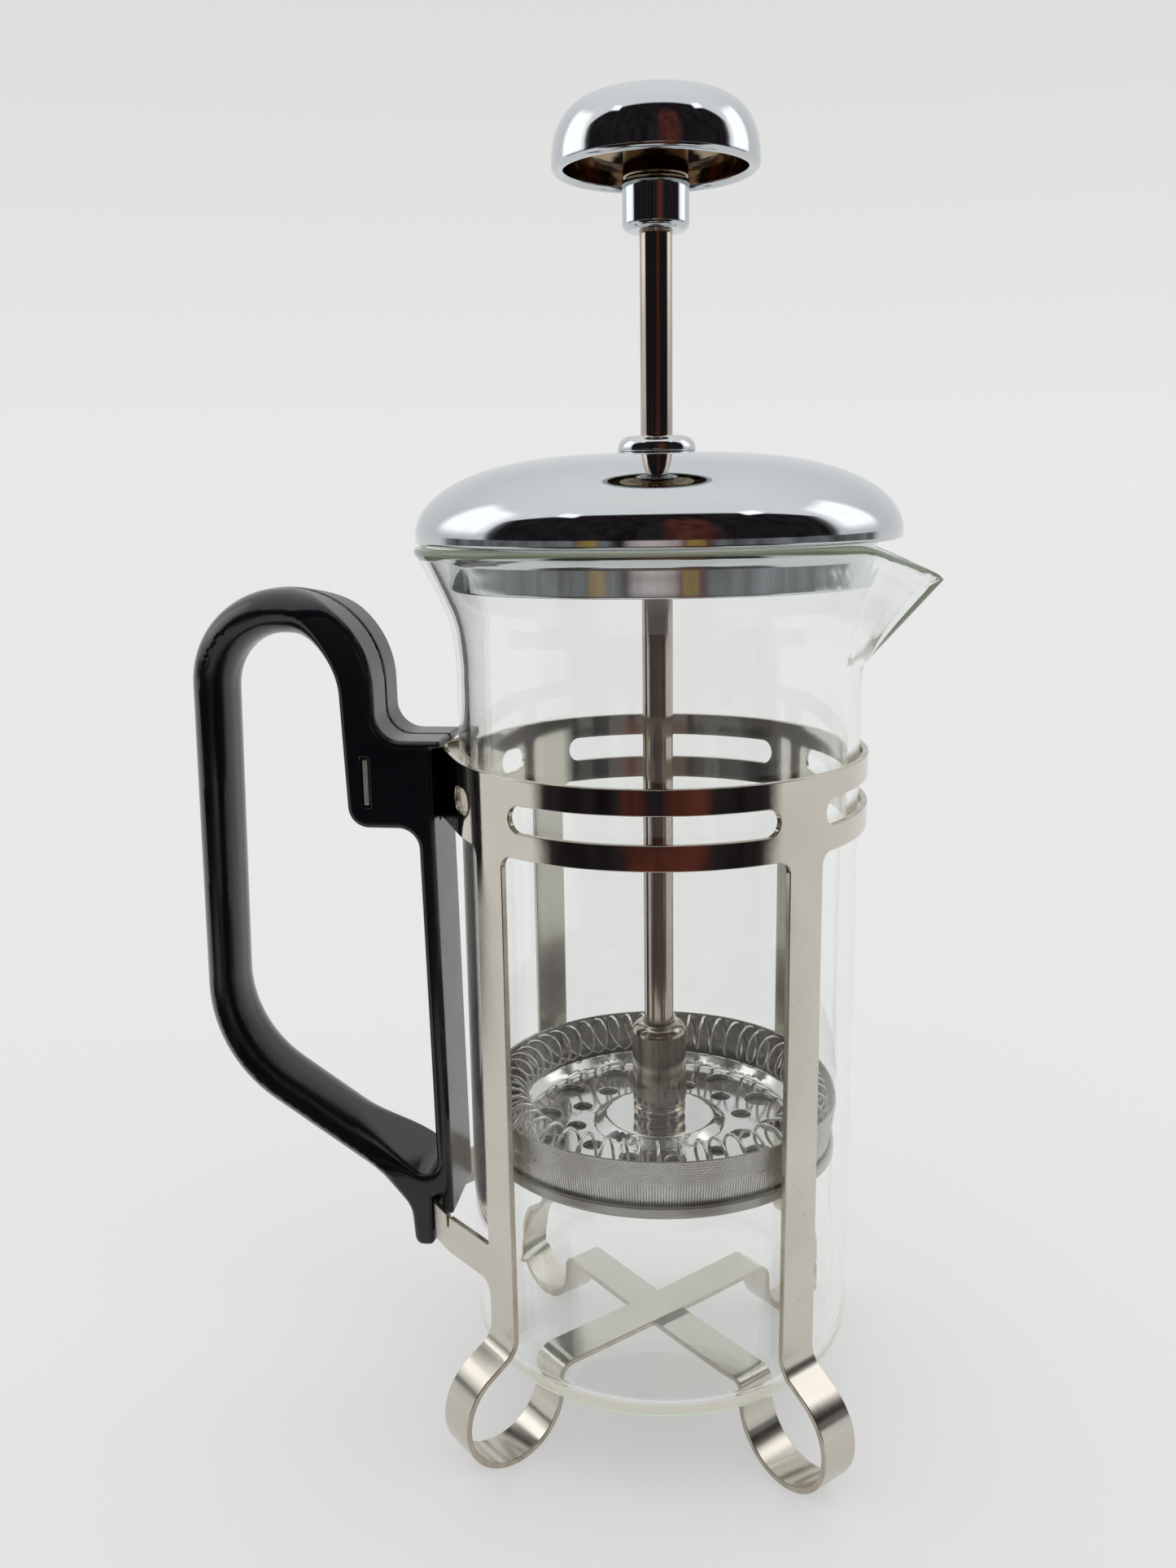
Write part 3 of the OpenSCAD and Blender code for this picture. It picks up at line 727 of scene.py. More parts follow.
def handle_field(p, d):
    """Signed distance to the moulded handle, from that of its outline. The outline is
    extruded across Y. Its edges are tightly rounded at the head and spine, and the grip's
    section is an oval."""
    x, y, z = p[:, 0], p[:, 1], p[:, 2]
    low = np.clip((ARM_OF_GRIP_Z - z) / 20, 0, 1)
    grip = smooth((-x - GRIP_FROM + 9.5 * low) / 9)
    wide = EDGE_R + (OVAL_WIDE - EDGE_R) * grip
    deep = EDGE_R + (OVAL_DEEP - EDGE_R) * grip
    u = np.maximum(d + wide, 0) / wide
    v = np.maximum(np.abs(y) - HANDLE_HALF + deep, 0) / deep
    near, slope = np.hypot(u, v), np.hypot(u / wide, v / deep)
    f = near * (near - 1) / np.maximum(slope, 1e-3)
    f = np.where(near < 0.02, -1.0, f)
    # parting groove along the middle of the outer face, from the arch to the lip
    top = np.clip((x + 66) / 6, 0, 1) * np.clip((z - 112) / 3, 0, 1)
    groove = np.exp(-((y - 0.2) / GROOVE_HALF) ** 2) * np.exp(-np.maximum(d, 0) ** 2)
    f = f + GROOVE_DEEP * top * groove
    # recess that takes the band, slot for its turned-out ends, and slot for the lock plate
    f = np.maximum(f, -block(p, (-36.2, 0, BAND_MID), (1.6, 3.3, 6.2)))
    f = np.maximum(f, -block(p, (-43.5, 0, BAND_MID), (6.8, 1.25, 6.2)))
    return np.maximum(f, -block(p, (-LOCK_X, 0, LOCK_Z), (0.63, 30, 4.13)))


lock_lo, lock_hi = cad("handle_lock_plate")
LOCK_X, LOCK_Z = -(lock_lo[0] + lock_hi[0]) / 2, (lock_lo[2] + lock_hi[2]) / 2


def net_surface(field, plan, lo, hi, step):
    """Surface nets: a smooth quad mesh of field = 0 between two corners, pulled on to the
    surface, with the field's gradient as its normals. plan is the part of the field that
    doesn't vary along Y."""
    axes = [np.arange(l, h + step, step) for l, h in zip(lo, hi)]
    shape = [len(a) for a in axes]
    slab = np.stack(np.meshgrid(axes[0], [0.0], axes[2], indexing="ij"), -1).reshape(-1, 3)
    base = plan(slab).reshape(shape[0], 1, shape[2])
    base = np.broadcast_to(base, shape).reshape(-1)
    grid = np.stack(np.meshgrid(*axes, indexing="ij"), -1).reshape(-1, 3)
    values = field(grid, base).reshape(shape)
    solid = values < 0
    corners = [(i, j, k) for i in (0, 1) for j in (0, 1) for k in (0, 1)]
    cells = np.zeros([s - 1 for s in shape], int)
    for i, j, k in corners:
        cells += solid[i:shape[0] - 1 + i, j:shape[1] - 1 + j, k:shape[2] - 1 + k]
    active = (cells > 0) & (cells < 8)
    number = np.full(active.shape, -1)
    number[active] = np.arange(active.sum())
    where = np.argwhere(active)
    total, weight = np.zeros((len(where), 3)), np.zeros(len(where))
    for c0 in corners:
        for axis in range(3):
            if c0[axis]:
                continue
            c1 = list(c0)
            c1[axis] = 1
            va, vb = values[tuple((where + c0).T)], values[tuple((where + c1).T)]
            cross = (va < 0) != (vb < 0)
            t = np.where(cross, va / np.where(cross, va - vb, 1), 0)
            at = where + np.array(c0) + t[:, None] * (np.array(c1) - c0)
            total[cross] += at[cross]
            weight[cross] += 1
    verts = np.array(lo) + total / weight[:, None] * step
    faces = []
    for axis in range(3):
        a, b = (axis + 1) % 3, (axis + 2) % 3
        near = np.take(solid, range(shape[axis] - 1), axis)
        far = np.take(solid, range(1, shape[axis]), axis)
        e = np.argwhere(near != far)
        e = e[(e[:, a] > 0) & (e[:, b] > 0)]
        quad = []
        for da, db in ((0, 0), (-1, 0), (-1, -1), (0, -1)):
            c = e.copy()
            c[:, a] += da
            c[:, b] += db
            quad.append(number[tuple(c.T)])
        quad = np.stack(quad, 1)
        outward = near[tuple(e.T)]
        faces.append(np.where(outward[:, None], quad, quad[:, ::-1]))
    h = 0.02

    def gradient(p):
        parts = []
        d = plan(p)
        for k, axis in enumerate(np.eye(3)):
            da, db = (d, d) if k == 1 else (plan(p + h * axis), plan(p - h * axis))
            parts.append((field(p + h * axis, da) - field(p - h * axis, db)) / (2 * h))
        return np.stack(parts, 1), d
    for _ in range(2):
        g, d = gradient(verts)
        move = -field(verts, d)[:, None] * g / np.maximum((g * g).sum(1, keepdims=True), 0.25)
        verts = verts + np.clip(move, -0.3 * step, 0.3 * step)
    return verts, np.vstack(faces), gradient(verts)[0]


margin = 1.5
v, f, m = net_surface(handle_field, plan_distance, handle_lo - margin, handle_hi + margin, 0.5)
piece("moulded_handle", v, f, plastic, "frame", ["handle"], m)


def plate_place(uv):
    return np.stack([np.full(len(uv), -LOCK_X), uv[:, 0], uv[:, 1]], 1)


outline = spaced(rounded([(-7.7, lock_lo[2], 0.5), (7.7, lock_lo[2], 0.5),
                          (7.7, lock_hi[2], 0.5), (-7.7, lock_hi[2], 0.5)], closed=True), 1.0, True)
v, f, m, _, _ = pressed_sheet([(outline, np.zeros(len(outline), bool))], plate_place,
                                0.9, 0.15, 1.2)
piece("lock_plate", v, f, lock_steel, "frame", ["handle_lock_plate"], m)

# ---- beaker

glass_lo, glass_hi = cad("glass_beaker")
BASE_Z, RIM_Z, RIM_R, SPOUT_X = glass_lo[2], glass_hi[2], glass_hi[1], glass_hi[0]
BASE_Z += 0.06
GLASS_R, GLASS_T, BASE_T = 32.5, 1.8, 2.5
NECK_Z = RIM_Z - 18.5
SPOUT_FOOT, SPOUT_HALF = RIM_Z - 20, 40


def glass_section():
    """Half section: up the outside from the middle of the base, over the rim's bead and
    down the inside."""
    neck = curve_through([(GLASS_R, NECK_Z - 6), (GLASS_R, NECK_Z - 3), (GLASS_R + 0.02, NECK_Z),
                          (GLASS_R + 0.42, NECK_Z + 4.3), (GLASS_R + 1.05, NECK_Z + 7.0),
                          (GLASS_R + 2.2, NECK_Z + 9.9), (GLASS_R + 3.4, NECK_Z + 12.5),
                          (GLASS_R + 4.57, NECK_Z + 14.85), (RIM_R - 0.25, NECK_Z + 16.9)], 7)
    m = side_normals(neck, False)
    inner_neck = (neck - m * GLASS_T)[::-1]
    corner = 4.0
    foot = arc((GLASS_R - corner, BASE_Z + corner), corner, -90, 0, 10)
    inner_r = corner - GLASS_T
    inner_foot = arc((GLASS_R - corner, BASE_Z + BASE_T + inner_r), inner_r, 0, -90, 8)
    bead = 0.9
    mid = (neck[-1] + inner_neck[0]) / 2 + [0.35, 0.3]
    lean = math.degrees(math.atan2(*m[-1][::-1]))
    over = arc(mid, bead, lean, lean + 180, 10)
    wall = [(GLASS_R, z) for z in np.linspace(BASE_Z + corner + 3, NECK_Z - 9, 14)]
    inner_wall = [(GLASS_R - GLASS_T, z)
                  for z in np.linspace(NECK_Z - 9, BASE_Z + BASE_T + inner_r + 3, 14)]
    rings_r = [0, 6, 14, 20, 24]
    punt = [(r, BASE_Z + 0.5 * (1 - (r / 27) ** 2)) for r in rings_r]
    return np.vstack([punt, foot, wall, neck[:-1], over,
                      inner_neck[1:], inner_wall, inner_foot,
                      [(r, BASE_Z + BASE_T) for r in rings_r[::-1]]])


SPOUT_PLAN = np.array([(SPOUT_X, 0), (44.45, 0.75), (43.75, 1.75), (42.7, 2.95), (41.3, 4.75),
                       (39.8, 6.95), (38.2, 9.6), (36.6, 12.6), (35.1, 15.6), (33.7, 18.1),
                       (32.8, 19.8), (31.1, 22.35), (29.3, 24.66)])
SPOUT_RIM = np.array([143.1, 143.5, 144.05, 144.6, 145.2, 145.9, 146.6, 147.25, 147.85, 148.4,
                      148.75, 149.15, RIM_Z])


def glass_mesh():
    """The beaker's vertices and faces: its section turned round the axis, and drawn out
    into the spout."""
    half = np.concatenate([np.linspace(0, 3, 13), np.linspace(3.4, 12, 22),
                           np.linspace(12.7, 42, 34), np.linspace(43.5, 180, 92)[:-1]])
    angles = np.concatenate([half, [180], -half[:0:-1]])
    section = glass_section()
    plan_a = np.degrees(np.arctan2(SPOUT_PLAN[:, 1], SPOUT_PLAN[:, 0]))
    plan_r = np.linalg.norm(SPOUT_PLAN, axis=1)
    dense = curve_through(np.column_stack([plan_a, plan_r, SPOUT_RIM]), 6)
    a = np.abs(angles)
    grow = np.interp(a, dense[:, 0], dense[:, 1], right=RIM_R) - RIM_R
    drop = np.interp(a, dense[:, 0], dense[:, 2], right=RIM_Z) - RIM_Z
    grow = np.where(a > SPOUT_HALF, 0, np.maximum(grow, 0))
    drop = np.where(a > SPOUT_HALF, 0, np.minimum(drop, 0))
    # under the beak the wall runs straight out at a slant, so the reach at each height is
    # what is left between that slant and the plain neck
    t = (section[:, 1] - SPOUT_FOOT) / (RIM_Z - SPOUT_FOOT)
    t = 0.5 * (t + np.hypot(t, 0.035)) * (section[:, 1] > NECK_Z - 8)
    t = np.where(t < 0.004, 0, np.minimum(t, 1))
    outside = section[:int(np.argmax(section[:, 1]))]
    plain = np.interp(section[:, 1], outside[-60:, 1], outside[-60:, 0])
    reach = (GLASS_R + (SPOUT_X - GLASS_R) * t - plain) / (SPOUT_X - RIM_R)
    reach = np.clip(reach, 0, 1)
    r = section[:, 0][:, None] + reach[:, None] * grow
    z = section[:, 1][:, None] + t[:, None] * drop
    verts = polar(r, np.radians(angles), z)
    rows, cols = r.shape
    flat = verts[1:-1].reshape(-1, 3)
    verts = np.vstack([[[0, 0, section[0, 1]]], flat, [[0, 0, BASE_Z + BASE_T]]])
    faces = grid_faces(rows - 2, cols, first=1)
    last = 1 + (rows - 3) * cols
    for j in range(cols):
        k = (j + 1) % cols
        faces.append((0, 1 + k, 1 + j))
        faces.append((len(verts) - 1, last + j, last + k))
    return verts, faces


v, f = glass_mesh()
piece("glass_vessel", v, f, glass, "beaker", ["glass_beaker"])

# ---- lid

LID_R, LID_Z, LID_TOP = round_size("lid_dome")
DOME_Z = LID_Z + 1.0


def dome(r, z, top, power, n, inner=0):
    """Profile of a dome from its edge to the radius inner. The lower its power, the
    fuller its shoulder."""
    a = np.radians(np.linspace(0, 90, n + 1))
    p = np.stack([r * np.cos(a) ** power, z + (top - z) * np.sin(a)], 1)
    return np.vstack([p[p[:, 0] > inner + 0.2], [[inner, top]]]) if inner else p


lid_t = 0.8
outer = dome(LID_R, DOME_Z, LID_TOP, 2 / 3, 44, 3.6)
under = dome(LID_R - lid_t, DOME_Z, LID_TOP - lid_t, 2 / 3, 44, 3.6)[::-1]
edge = rounded([(LID_R - lid_t, DOME_Z), (LID_R - lid_t, LID_Z, 0.3), (LID_R, LID_Z, 0.38),
                (LID_R, DOME_Z)])
lathe("lid_shell", np.vstack([under[:-1], edge, outer[1:]]), chrome, "lid",
      ["lid_dome"], n=224, closed=True)

SKIRT_R = 33.2
_, SKIRT_Z, FLANGE_TOP = round_size("lid_skirt")
lathe("lid_ring", rounded([
    (SKIRT_R - lid_t, SKIRT_Z, 0.35), (SKIRT_R, SKIRT_Z, 0.35), (SKIRT_R, RIM_Z - 2.0, 1.2),
    (SKIRT_R + 1.6, FLANGE_TOP - 0.8, 1.2), (LID_R - 1.0, FLANGE_TOP - 0.8, 0.3),
    (LID_R - 1.0, FLANGE_TOP, 0.3), (SKIRT_R + 1.2, FLANGE_TOP, 1.6),
    (SKIRT_R - lid_t, RIM_Z - 1.6, 1.4)], closed=True), chrome, "lid",
      ["lid_skirt"], n=224, closed=True)

COLLAR_R, COLLAR_Z, COLLAR_TOP = round_size("lid_collar")
BUSH_R = 2.62
lathe("lid_collar_ring", rounded([
    (BUSH_R, COLLAR_Z, 0.2), (3.5, COLLAR_Z, 0.2), (3.5, LID_TOP + 0.03, 0.1),
    (COLLAR_R, LID_TOP + 0.03, 0.35), (COLLAR_R, COLLAR_TOP, 2.0), (BUSH_R, COLLAR_TOP, 0.5)],
    closed=True, turn=5), chrome, "lid", ["lid_collar"], n=96, closed=True)

# ---- plunger

ROD_R, ROD_Z, ROD_TOP = round_size("plunger_rod")
KNOB_R, KNOB_Z, KNOB_TOP = round_size("knob_cap")
SLEEVE_R, SLEEVE_Z, SLEEVE_TOP = round_size("knob_sleeve")
BOSS_R, BOSS_Z, BOSS_TOP = round_size("knob_boss")

lathe("rod", rounded([(0, ROD_Z), (ROD_R, ROD_Z, 0.3), (ROD_R, ROD_TOP, 0.3),
                      (0, ROD_TOP)]), rod_steel, "plunger",
      ["plunger_rod"], n=64)

CROWN_Z, CROWN_POWER = KNOB_Z + 1.8, 0.43
LIP = 1.9
knob_lip = rounded([(KNOB_R - LIP, CROWN_Z), (KNOB_R - LIP, KNOB_Z, 0.9),
                    (KNOB_R, KNOB_Z, 0.95), (KNOB_R, CROWN_Z)])
lathe("knob", np.vstack([knob_lip[1:-1], dome(KNOB_R, CROWN_Z, KNOB_TOP, CROWN_POWER, 60)]),
      chrome, "plunger", ["knob_cap"], n=192)
hollow = dome(KNOB_R - LIP, CROWN_Z, KNOB_TOP - 1.4, CROWN_POWER, 60)[::-1]
lathe("knob_inside", np.vstack([hollow, knob_lip[1:2]]), shaded_chrome, "plunger", n=128)

lathe("knob_stem", rounded([(ROD_R, BOSS_Z, 0.2), (BOSS_R, BOSS_Z, 0.3),
                            (BOSS_R, BOSS_TOP + 0.2)]),
      shaded_chrome, "plunger", ["knob_boss"], n=80)
lathe("knob_collar", rounded([
    (ROD_R, SLEEVE_Z, 0.3), (SLEEVE_R, SLEEVE_Z, 1.1), (SLEEVE_R, SLEEVE_Z + 1.6, 2),
    (SLEEVE_R, SLEEVE_TOP, 0.9), (ROD_R, SLEEVE_TOP, 0.2)], closed=True, turn=5),
      chrome, "plunger", ["knob_sleeve"], n=96, closed=True)

# ---- filter

HUB_R, HUB_Z, HUB_TOP = round_size("filter_hub")
lathe("filter_hub_body", rounded([
    (1.9, HUB_Z, 0.1), (HUB_R - 0.5, HUB_Z, 0.3), (HUB_R - 0.1, HUB_Z + 0.7, 0.3),
    (HUB_R - 0.1, HUB_Z + 1.6, 0.3), (HUB_R - 0.55, HUB_Z + 1.95, 0.25),
    (HUB_R - 0.55, HUB_Z + 2.4, 0.25), (HUB_R, HUB_Z + 2.8, 0.3),
    (HUB_R, HUB_TOP, 1.9), (ROD_R, HUB_TOP, 0.3), (ROD_R, HUB_TOP - 2, 0)], turn=5),
      turned, "filter", ["filter_hub"], n=96)

PLATE_Z = cad("spring_plate")[0][2] + 0.4
PLATE_RISE = HUB_Z - 0.4 - PLATE_Z


def plate_height(r):
    """Height of the spring plate's middle surface at each radius."""
    p = rounded([(-1, PLATE_Z + PLATE_RISE), (9.1, PLATE_Z + PLATE_RISE, 1.2),
                 (11.2, PLATE_Z, 1.2), (23.6, PLATE_Z, 2.0), (25.6, PLATE_Z + 2.3, 0)], turn=4)
    return extended(r, p[:, 0], p[:, 1])


def plate_place_round(uv):
    r = np.linalg.norm(uv, axis=1)
    return np.column_stack([uv, plate_height(r)])


def circle(centre, r, n, clockwise=False):
    ring = arc(centre, r, 0, 360, n)[:-1]
    return (ring[::-1] if clockwise else ring), np.zeros(n, bool)


HOLES = 12
rings = [circle((0, 0), 25.5, 180), circle((0, 0), 2.0, 24, True)]
for i in range(HOLES):
    for turn_by, r, d in ((0.5, 14.6, 3.3), (0.0, 19.9, 5.0)):
        a = math.radians((i + turn_by) * 360 / HOLES)
        rings.append(circle((r * math.cos(a), r * math.sin(a)), d / 2, 28, True))
v, f, m, _, _ = pressed_sheet(rings, plate_place_round, 0.8, 0.18, 0.7)
piece("spring_plate_pressing", v, f, plate_steel, "filter", ["spring_plate"], m)

coil_reach, coil_low, coil_high = round_size("filter_spring")
COIL_Z, COIL_R = (coil_low + coil_high) / 2, (coil_high - coil_low) / 2
COIL_RING = coil_reach - COIL_R


def coil_mesh(turns=54, wire=0.27, per=26, sides=7):
    """The spring: fine wire wound round and closed into a ring, with uneven winding."""
    rng = np.random.default_rng(7)
    n = turns * per
    s = np.arange(n) / n
    wander = np.zeros(n)
    for k in range(2, 16):
        wander += rng.normal() / k * np.sin(2 * math.pi * (k * s + rng.random()))
    swell = 1 + 0.025 * np.sin(2 * math.pi * (7 * s + 0.2)) + 0.02 * np.sin(2 * math.pi * 17 * s)
    big = 2 * math.pi * s + 0.035 * wander
    small = 2 * math.pi * turns * s
    r = (COIL_R - wire) * swell.clip(0.96, 1)
    lean = 0.030 * np.cos(small)
    ring = COIL_RING + r * np.cos(small)
    path = polar(ring, big + lean, COIL_Z + r * np.sin(small))
    t = unit(np.roll(path, -1, 0) - np.roll(path, 1, 0))
    a = unit(path - polar(COIL_RING, big, COIL_Z))
    a = unit(a - (a * t).sum(1, keepdims=True) * t)
    b = np.cross(t, a)
    q = np.arange(sides) * 2 * math.pi / sides
    lean_out = np.cos(q)[None, :, None] * a[:, None] + np.sin(q)[None, :, None] * b[:, None]
    verts = (path[:, None] + wire * lean_out).reshape(-1, 3)
    return verts, grid_faces(n, sides, loop=True), lean_out.reshape(-1, 3)


v, f, m = coil_mesh()
piece("coil_spring", v, f, wire_steel, "filter", ["filter_spring"], m)

MESH_R, MESH_Z, MESH_TOP = round_size("filter_mesh")
MESH_LOW_R = MESH_R - 1.35


def woven_skirt(ribs=430, pitch=0.46, swing=0.075):
    """The upturned edge of the mesh: woven wire above, drawn into upright ribs below,
    and a turned-over upper edge."""
    cols = ribs * 4
    height = MESH_TOP - MESH_Z
    rows_out = np.arange(0, height - 0.2, pitch / 4)
    a = np.arange(cols) * 2 * math.pi / cols
    verts, crown = [], []
    for s in rows_out:
        t = s / height
        r0 = MESH_LOW_R + 1.35 * t - 0.12
        woven = np.clip((t - 0.42) / 0.18, 0, 1)
        weft = np.cos(math.pi * s / pitch)
        warp = np.cos(ribs * a)
        over_under = 0.75 * warp * weft + 0.25 * np.cos(2 * math.pi * s / pitch)
        h = (1 - woven) * warp + woven * over_under
        r = r0 + swing * h * min(1, s / 0.6)
        verts.append(polar(r, a, MESH_Z + s))
        crown.append(h)
    lip = [(MESH_R - 0.10, MESH_TOP - 0.12), (MESH_R - 0.22, MESH_TOP),
           (MESH_R - 0.38, MESH_TOP - 0.1), (MESH_R - 0.45, MESH_TOP - 0.6),
           (MESH_LOW_R - 0.45, MESH_Z + 0.4)]
    for r, z in lip:
        ragged = 0.04 * np.cos(ribs * a) * (1 if z > MESH_TOP - 0.2 else 0)
        verts.append(polar(r, a, z + ragged))
        crown.append(0.5 * np.cos(ribs * a))
    return np.vstack(verts), grid_faces(len(verts), cols), np.concatenate(crown)


v, f, crown = woven_skirt()
piece("mesh_skirt", v, f, weave, "filter", ["filter_mesh"],
      marks={"crown": crown})


def woven_disc(pitch=0.42, swing=0.05):
    """The flat of the mesh, seen through the holes of the spring plate."""
    radius = MESH_LOW_R - 0.5
    step = pitch / 2
    n = int(radius / step) * 2 + 1
    g = (np.arange(n) - n // 2) * step
    x, y = np.meshgrid(g, g, indexing="ij")
    i, j = np.meshgrid(np.arange(n), np.arange(n), indexing="ij")
    h = np.where((i + j) % 2 == 0, np.where((i // 2 + j // 2) % 2 == 0, 1.0, 0.35), -1.0)
    z = MESH_Z + 0.18 + swing * h
    keep = np.hypot(x, y) < radius
    number = np.full(keep.shape, -1)
    number[keep] = np.arange(keep.sum())
    quads = np.stack([number[:-1, :-1], number[1:, :-1], number[1:, 1:], number[:-1, 1:]], -1)
    quads = quads[(quads >= 0).all(-1)]
    used, back = np.unique(quads, return_inverse=True)
    verts = np.stack([x[keep], y[keep], z[keep]], 1)[used]
    return verts, back.reshape(-1, 4), h[keep][used]


v, f, crown = woven_disc()
piece("mesh_disc", v, f, weave, "filter", marks={"crown": crown})

CROSS_R, CROSS_Z, CROSS_TOP = round_size("cross_plate")
rings = [circle((0, 0), MESH_LOW_R, 160), circle((0, 0), 2.2, 24, True)]
for i in range(8):
    a = math.radians((i + 0.5) * 45)
    rings.append(circle((18 * math.cos(a), 18 * math.sin(a)), 5.5, 40, True))
v, f, m, _, _ = pressed_sheet(
    rings, lambda uv: np.column_stack([uv, np.full(len(uv), CROSS_Z + 0.45)]), 0.85, 0.15, 1.0)
piece("under_plate", v, f, rim_steel, "filter", ["cross_plate"], m)
lathe("under_plate_rim", rounded([
    (MESH_LOW_R - 1.0, CROSS_Z, 0.2), (CROSS_R, CROSS_Z, 0.75), (CROSS_R, CROSS_TOP, 0.35),
    (CROSS_R - 0.75, CROSS_TOP, 0.3), (CROSS_R - 0.8, CROSS_Z + 0.9, 0.3),
    (MESH_LOW_R - 1.0, CROSS_Z + 0.8, 0.2)], closed=True), rim_steel, "filter",
      n=200, closed=True)

_, STUD_Z, STUD_TOP = round_size("filter_stud")
lathe("filter_screw", rounded([
    (0, STUD_Z + 0.5), (0.9, STUD_Z + 0.5, 0.1), (1.1, STUD_Z, 0.2),
    (4.4, STUD_Z, 0.5), (4.4, STUD_Z + 1.3, 0.2), (1.85, STUD_Z + 1.3, 0.1),
    (1.85, STUD_TOP, 0.3), (0, STUD_TOP)]), turned, "filter",
      ["filter_stud"], n=64)

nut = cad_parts["lid_retaining_nut"]
nut.data.materials.clear()
nut.data.materials.append(turned)

# ---- camera

VIEW_FROM, VIEW_DOWN, VIEW_ROLL = 7.858, 12.296, 0.886
CAMERA_AT = (18.16, -216.32, 157.2)
cam_data = bpy.data.cameras.new("camera")
cam_data.sensor_fit = "HORIZONTAL"
cam_data.sensor_width = 36
cam_data.lens = 41.11
cam_data.clip_start = 0.005
cam_data.clip_end = 50
cam = bpy.data.objects.new("camera", cam_data)
bpy.context.scene.collection.objects.link(cam)
cam.matrix_world = (Matrix.Translation(Vector(CAMERA_AT) * MM)
                    @ Matrix.Rotation(math.radians(VIEW_FROM), 4, "Z")
                    @ Matrix.Rotation(math.radians(90 - VIEW_DOWN), 4, "X")
                    @ Matrix.Rotation(math.radians(-VIEW_ROLL), 4, "Z"))
bpy.context.scene.camera = cam

# ---- stage and light

scene = bpy.context.scene
scene.view_settings.view_transform = "Standard"


def reflected(g):
    """1 for a ray that has come off metal or plastic, in the open or behind the glass wall.
    A ray that glass itself turns back inside its wall isn't one."""
    shiny = g.calc("GREATER_THAN", g.add("LightPath", "Glossy Depth"), 0.5)
    depth = g.add("LightPath", "Transmission Depth")
    free = g.calc("LESS_THAN", depth, 0.5)
    behind = g.calc("GREATER_THAN", depth, 3.5)
    return g.calc("MULTIPLY", shiny, g.calc("MAXIMUM", free, behind))


def emitter(name, colour, vary, strength=1):
    """A glow that only reflections see; any other ray goes through it."""
    g = new_material(name)
    g.nodes.clear()
    cloud = g.spread(g.noise(0.02, 3, (1, 1, 0.4)), 0, 1)
    dim = tuple(c * (1 - vary) for c in colour)
    mix = g.nodes.new("ShaderNodeMixShader")
    g.put(mix.inputs[0], g.calc("MULTIPLY", reflected(g), g.mark("veil")))
    g.put(mix.inputs[1], g.add("BsdfTransparent", "BSDF"))
    g.put(mix.inputs[2], g.add("Emission", "Emission", Strength=strength,
                               Color=g.blend(cloud, colour, dim)))
    g.feed(g.nodes.new("ShaderNodeOutputMaterial"), Surface=mix.outputs["Shader"])
    return g.owner


LOW = 100


def card(name, a0, a1, z0, z1, radius, material, near, fall, soft):
    """A curved card that only shows in reflections. Angles are to the right of where the
    camera stands, as it sees them; heights and radius in millimetres. near is the radius
    of its lower edge, fall how much lower its top is at its two sides, and soft the part
    of its width and height over which its edges fade. Cards meet below the height LOW, so
    a lower or upper edge there doesn't fade."""
    cols, rows = max(12, int((a1 - a0) / 4)) + 1, 13
    t = np.linspace(-1, 1, cols)[None, :]
    up = np.linspace(0, 1, rows)[:, None]
    a = np.radians(a0 + (a1 - a0) * (t + 1) / 2 - 90 + VIEW_FROM)
    r = (near or radius) + (radius - (near or radius)) * up
    z = z0 + (z1 - fall * t ** 2 - z0) * up
    verts = polar(r, a, z).reshape(-1, 3)
    fade = np.clip((1 - np.abs(t)) / (2 * soft), 0, 1) * np.ones_like(up)
    if z1 > LOW:
        fade = fade * np.clip((1 - up) / soft, 0, 1)
    if z0 > LOW:
        fade = fade * np.clip(up / soft, 0, 1)
    obj = mesh_object(name, verts, grid_faces(rows, cols, ring=False), material,
                      {"veil": smooth(fade).ravel()})
    for ray in ("camera", "diffuse", "shadow", "volume_scatter"):
        setattr(obj, "visible_" + ray, False)


dark_room = emitter("dark_room", (0.024, 0.020, 0.024), 0.7)
brown = emitter("brown", (0.13, 0.040, 0.028), 0.6)
hub_brown = emitter("hub_brown", (0.15, 0.095, 0.06), 0.5)
grey = emitter("grey", (0.25, 0.255, 0.265), 0.7)
gold = emitter("gold", (0.41, 0.27, 0.085), 0.5)
pink = emitter("pale_pink", (0.62, 0.52, 0.51), 0.4)
white = emitter("softbox", (1.0, 1.0, 1.0), 0.1, 1.75)
tent = emitter("tent", (1.0, 1.0, 1.0), 0.04)
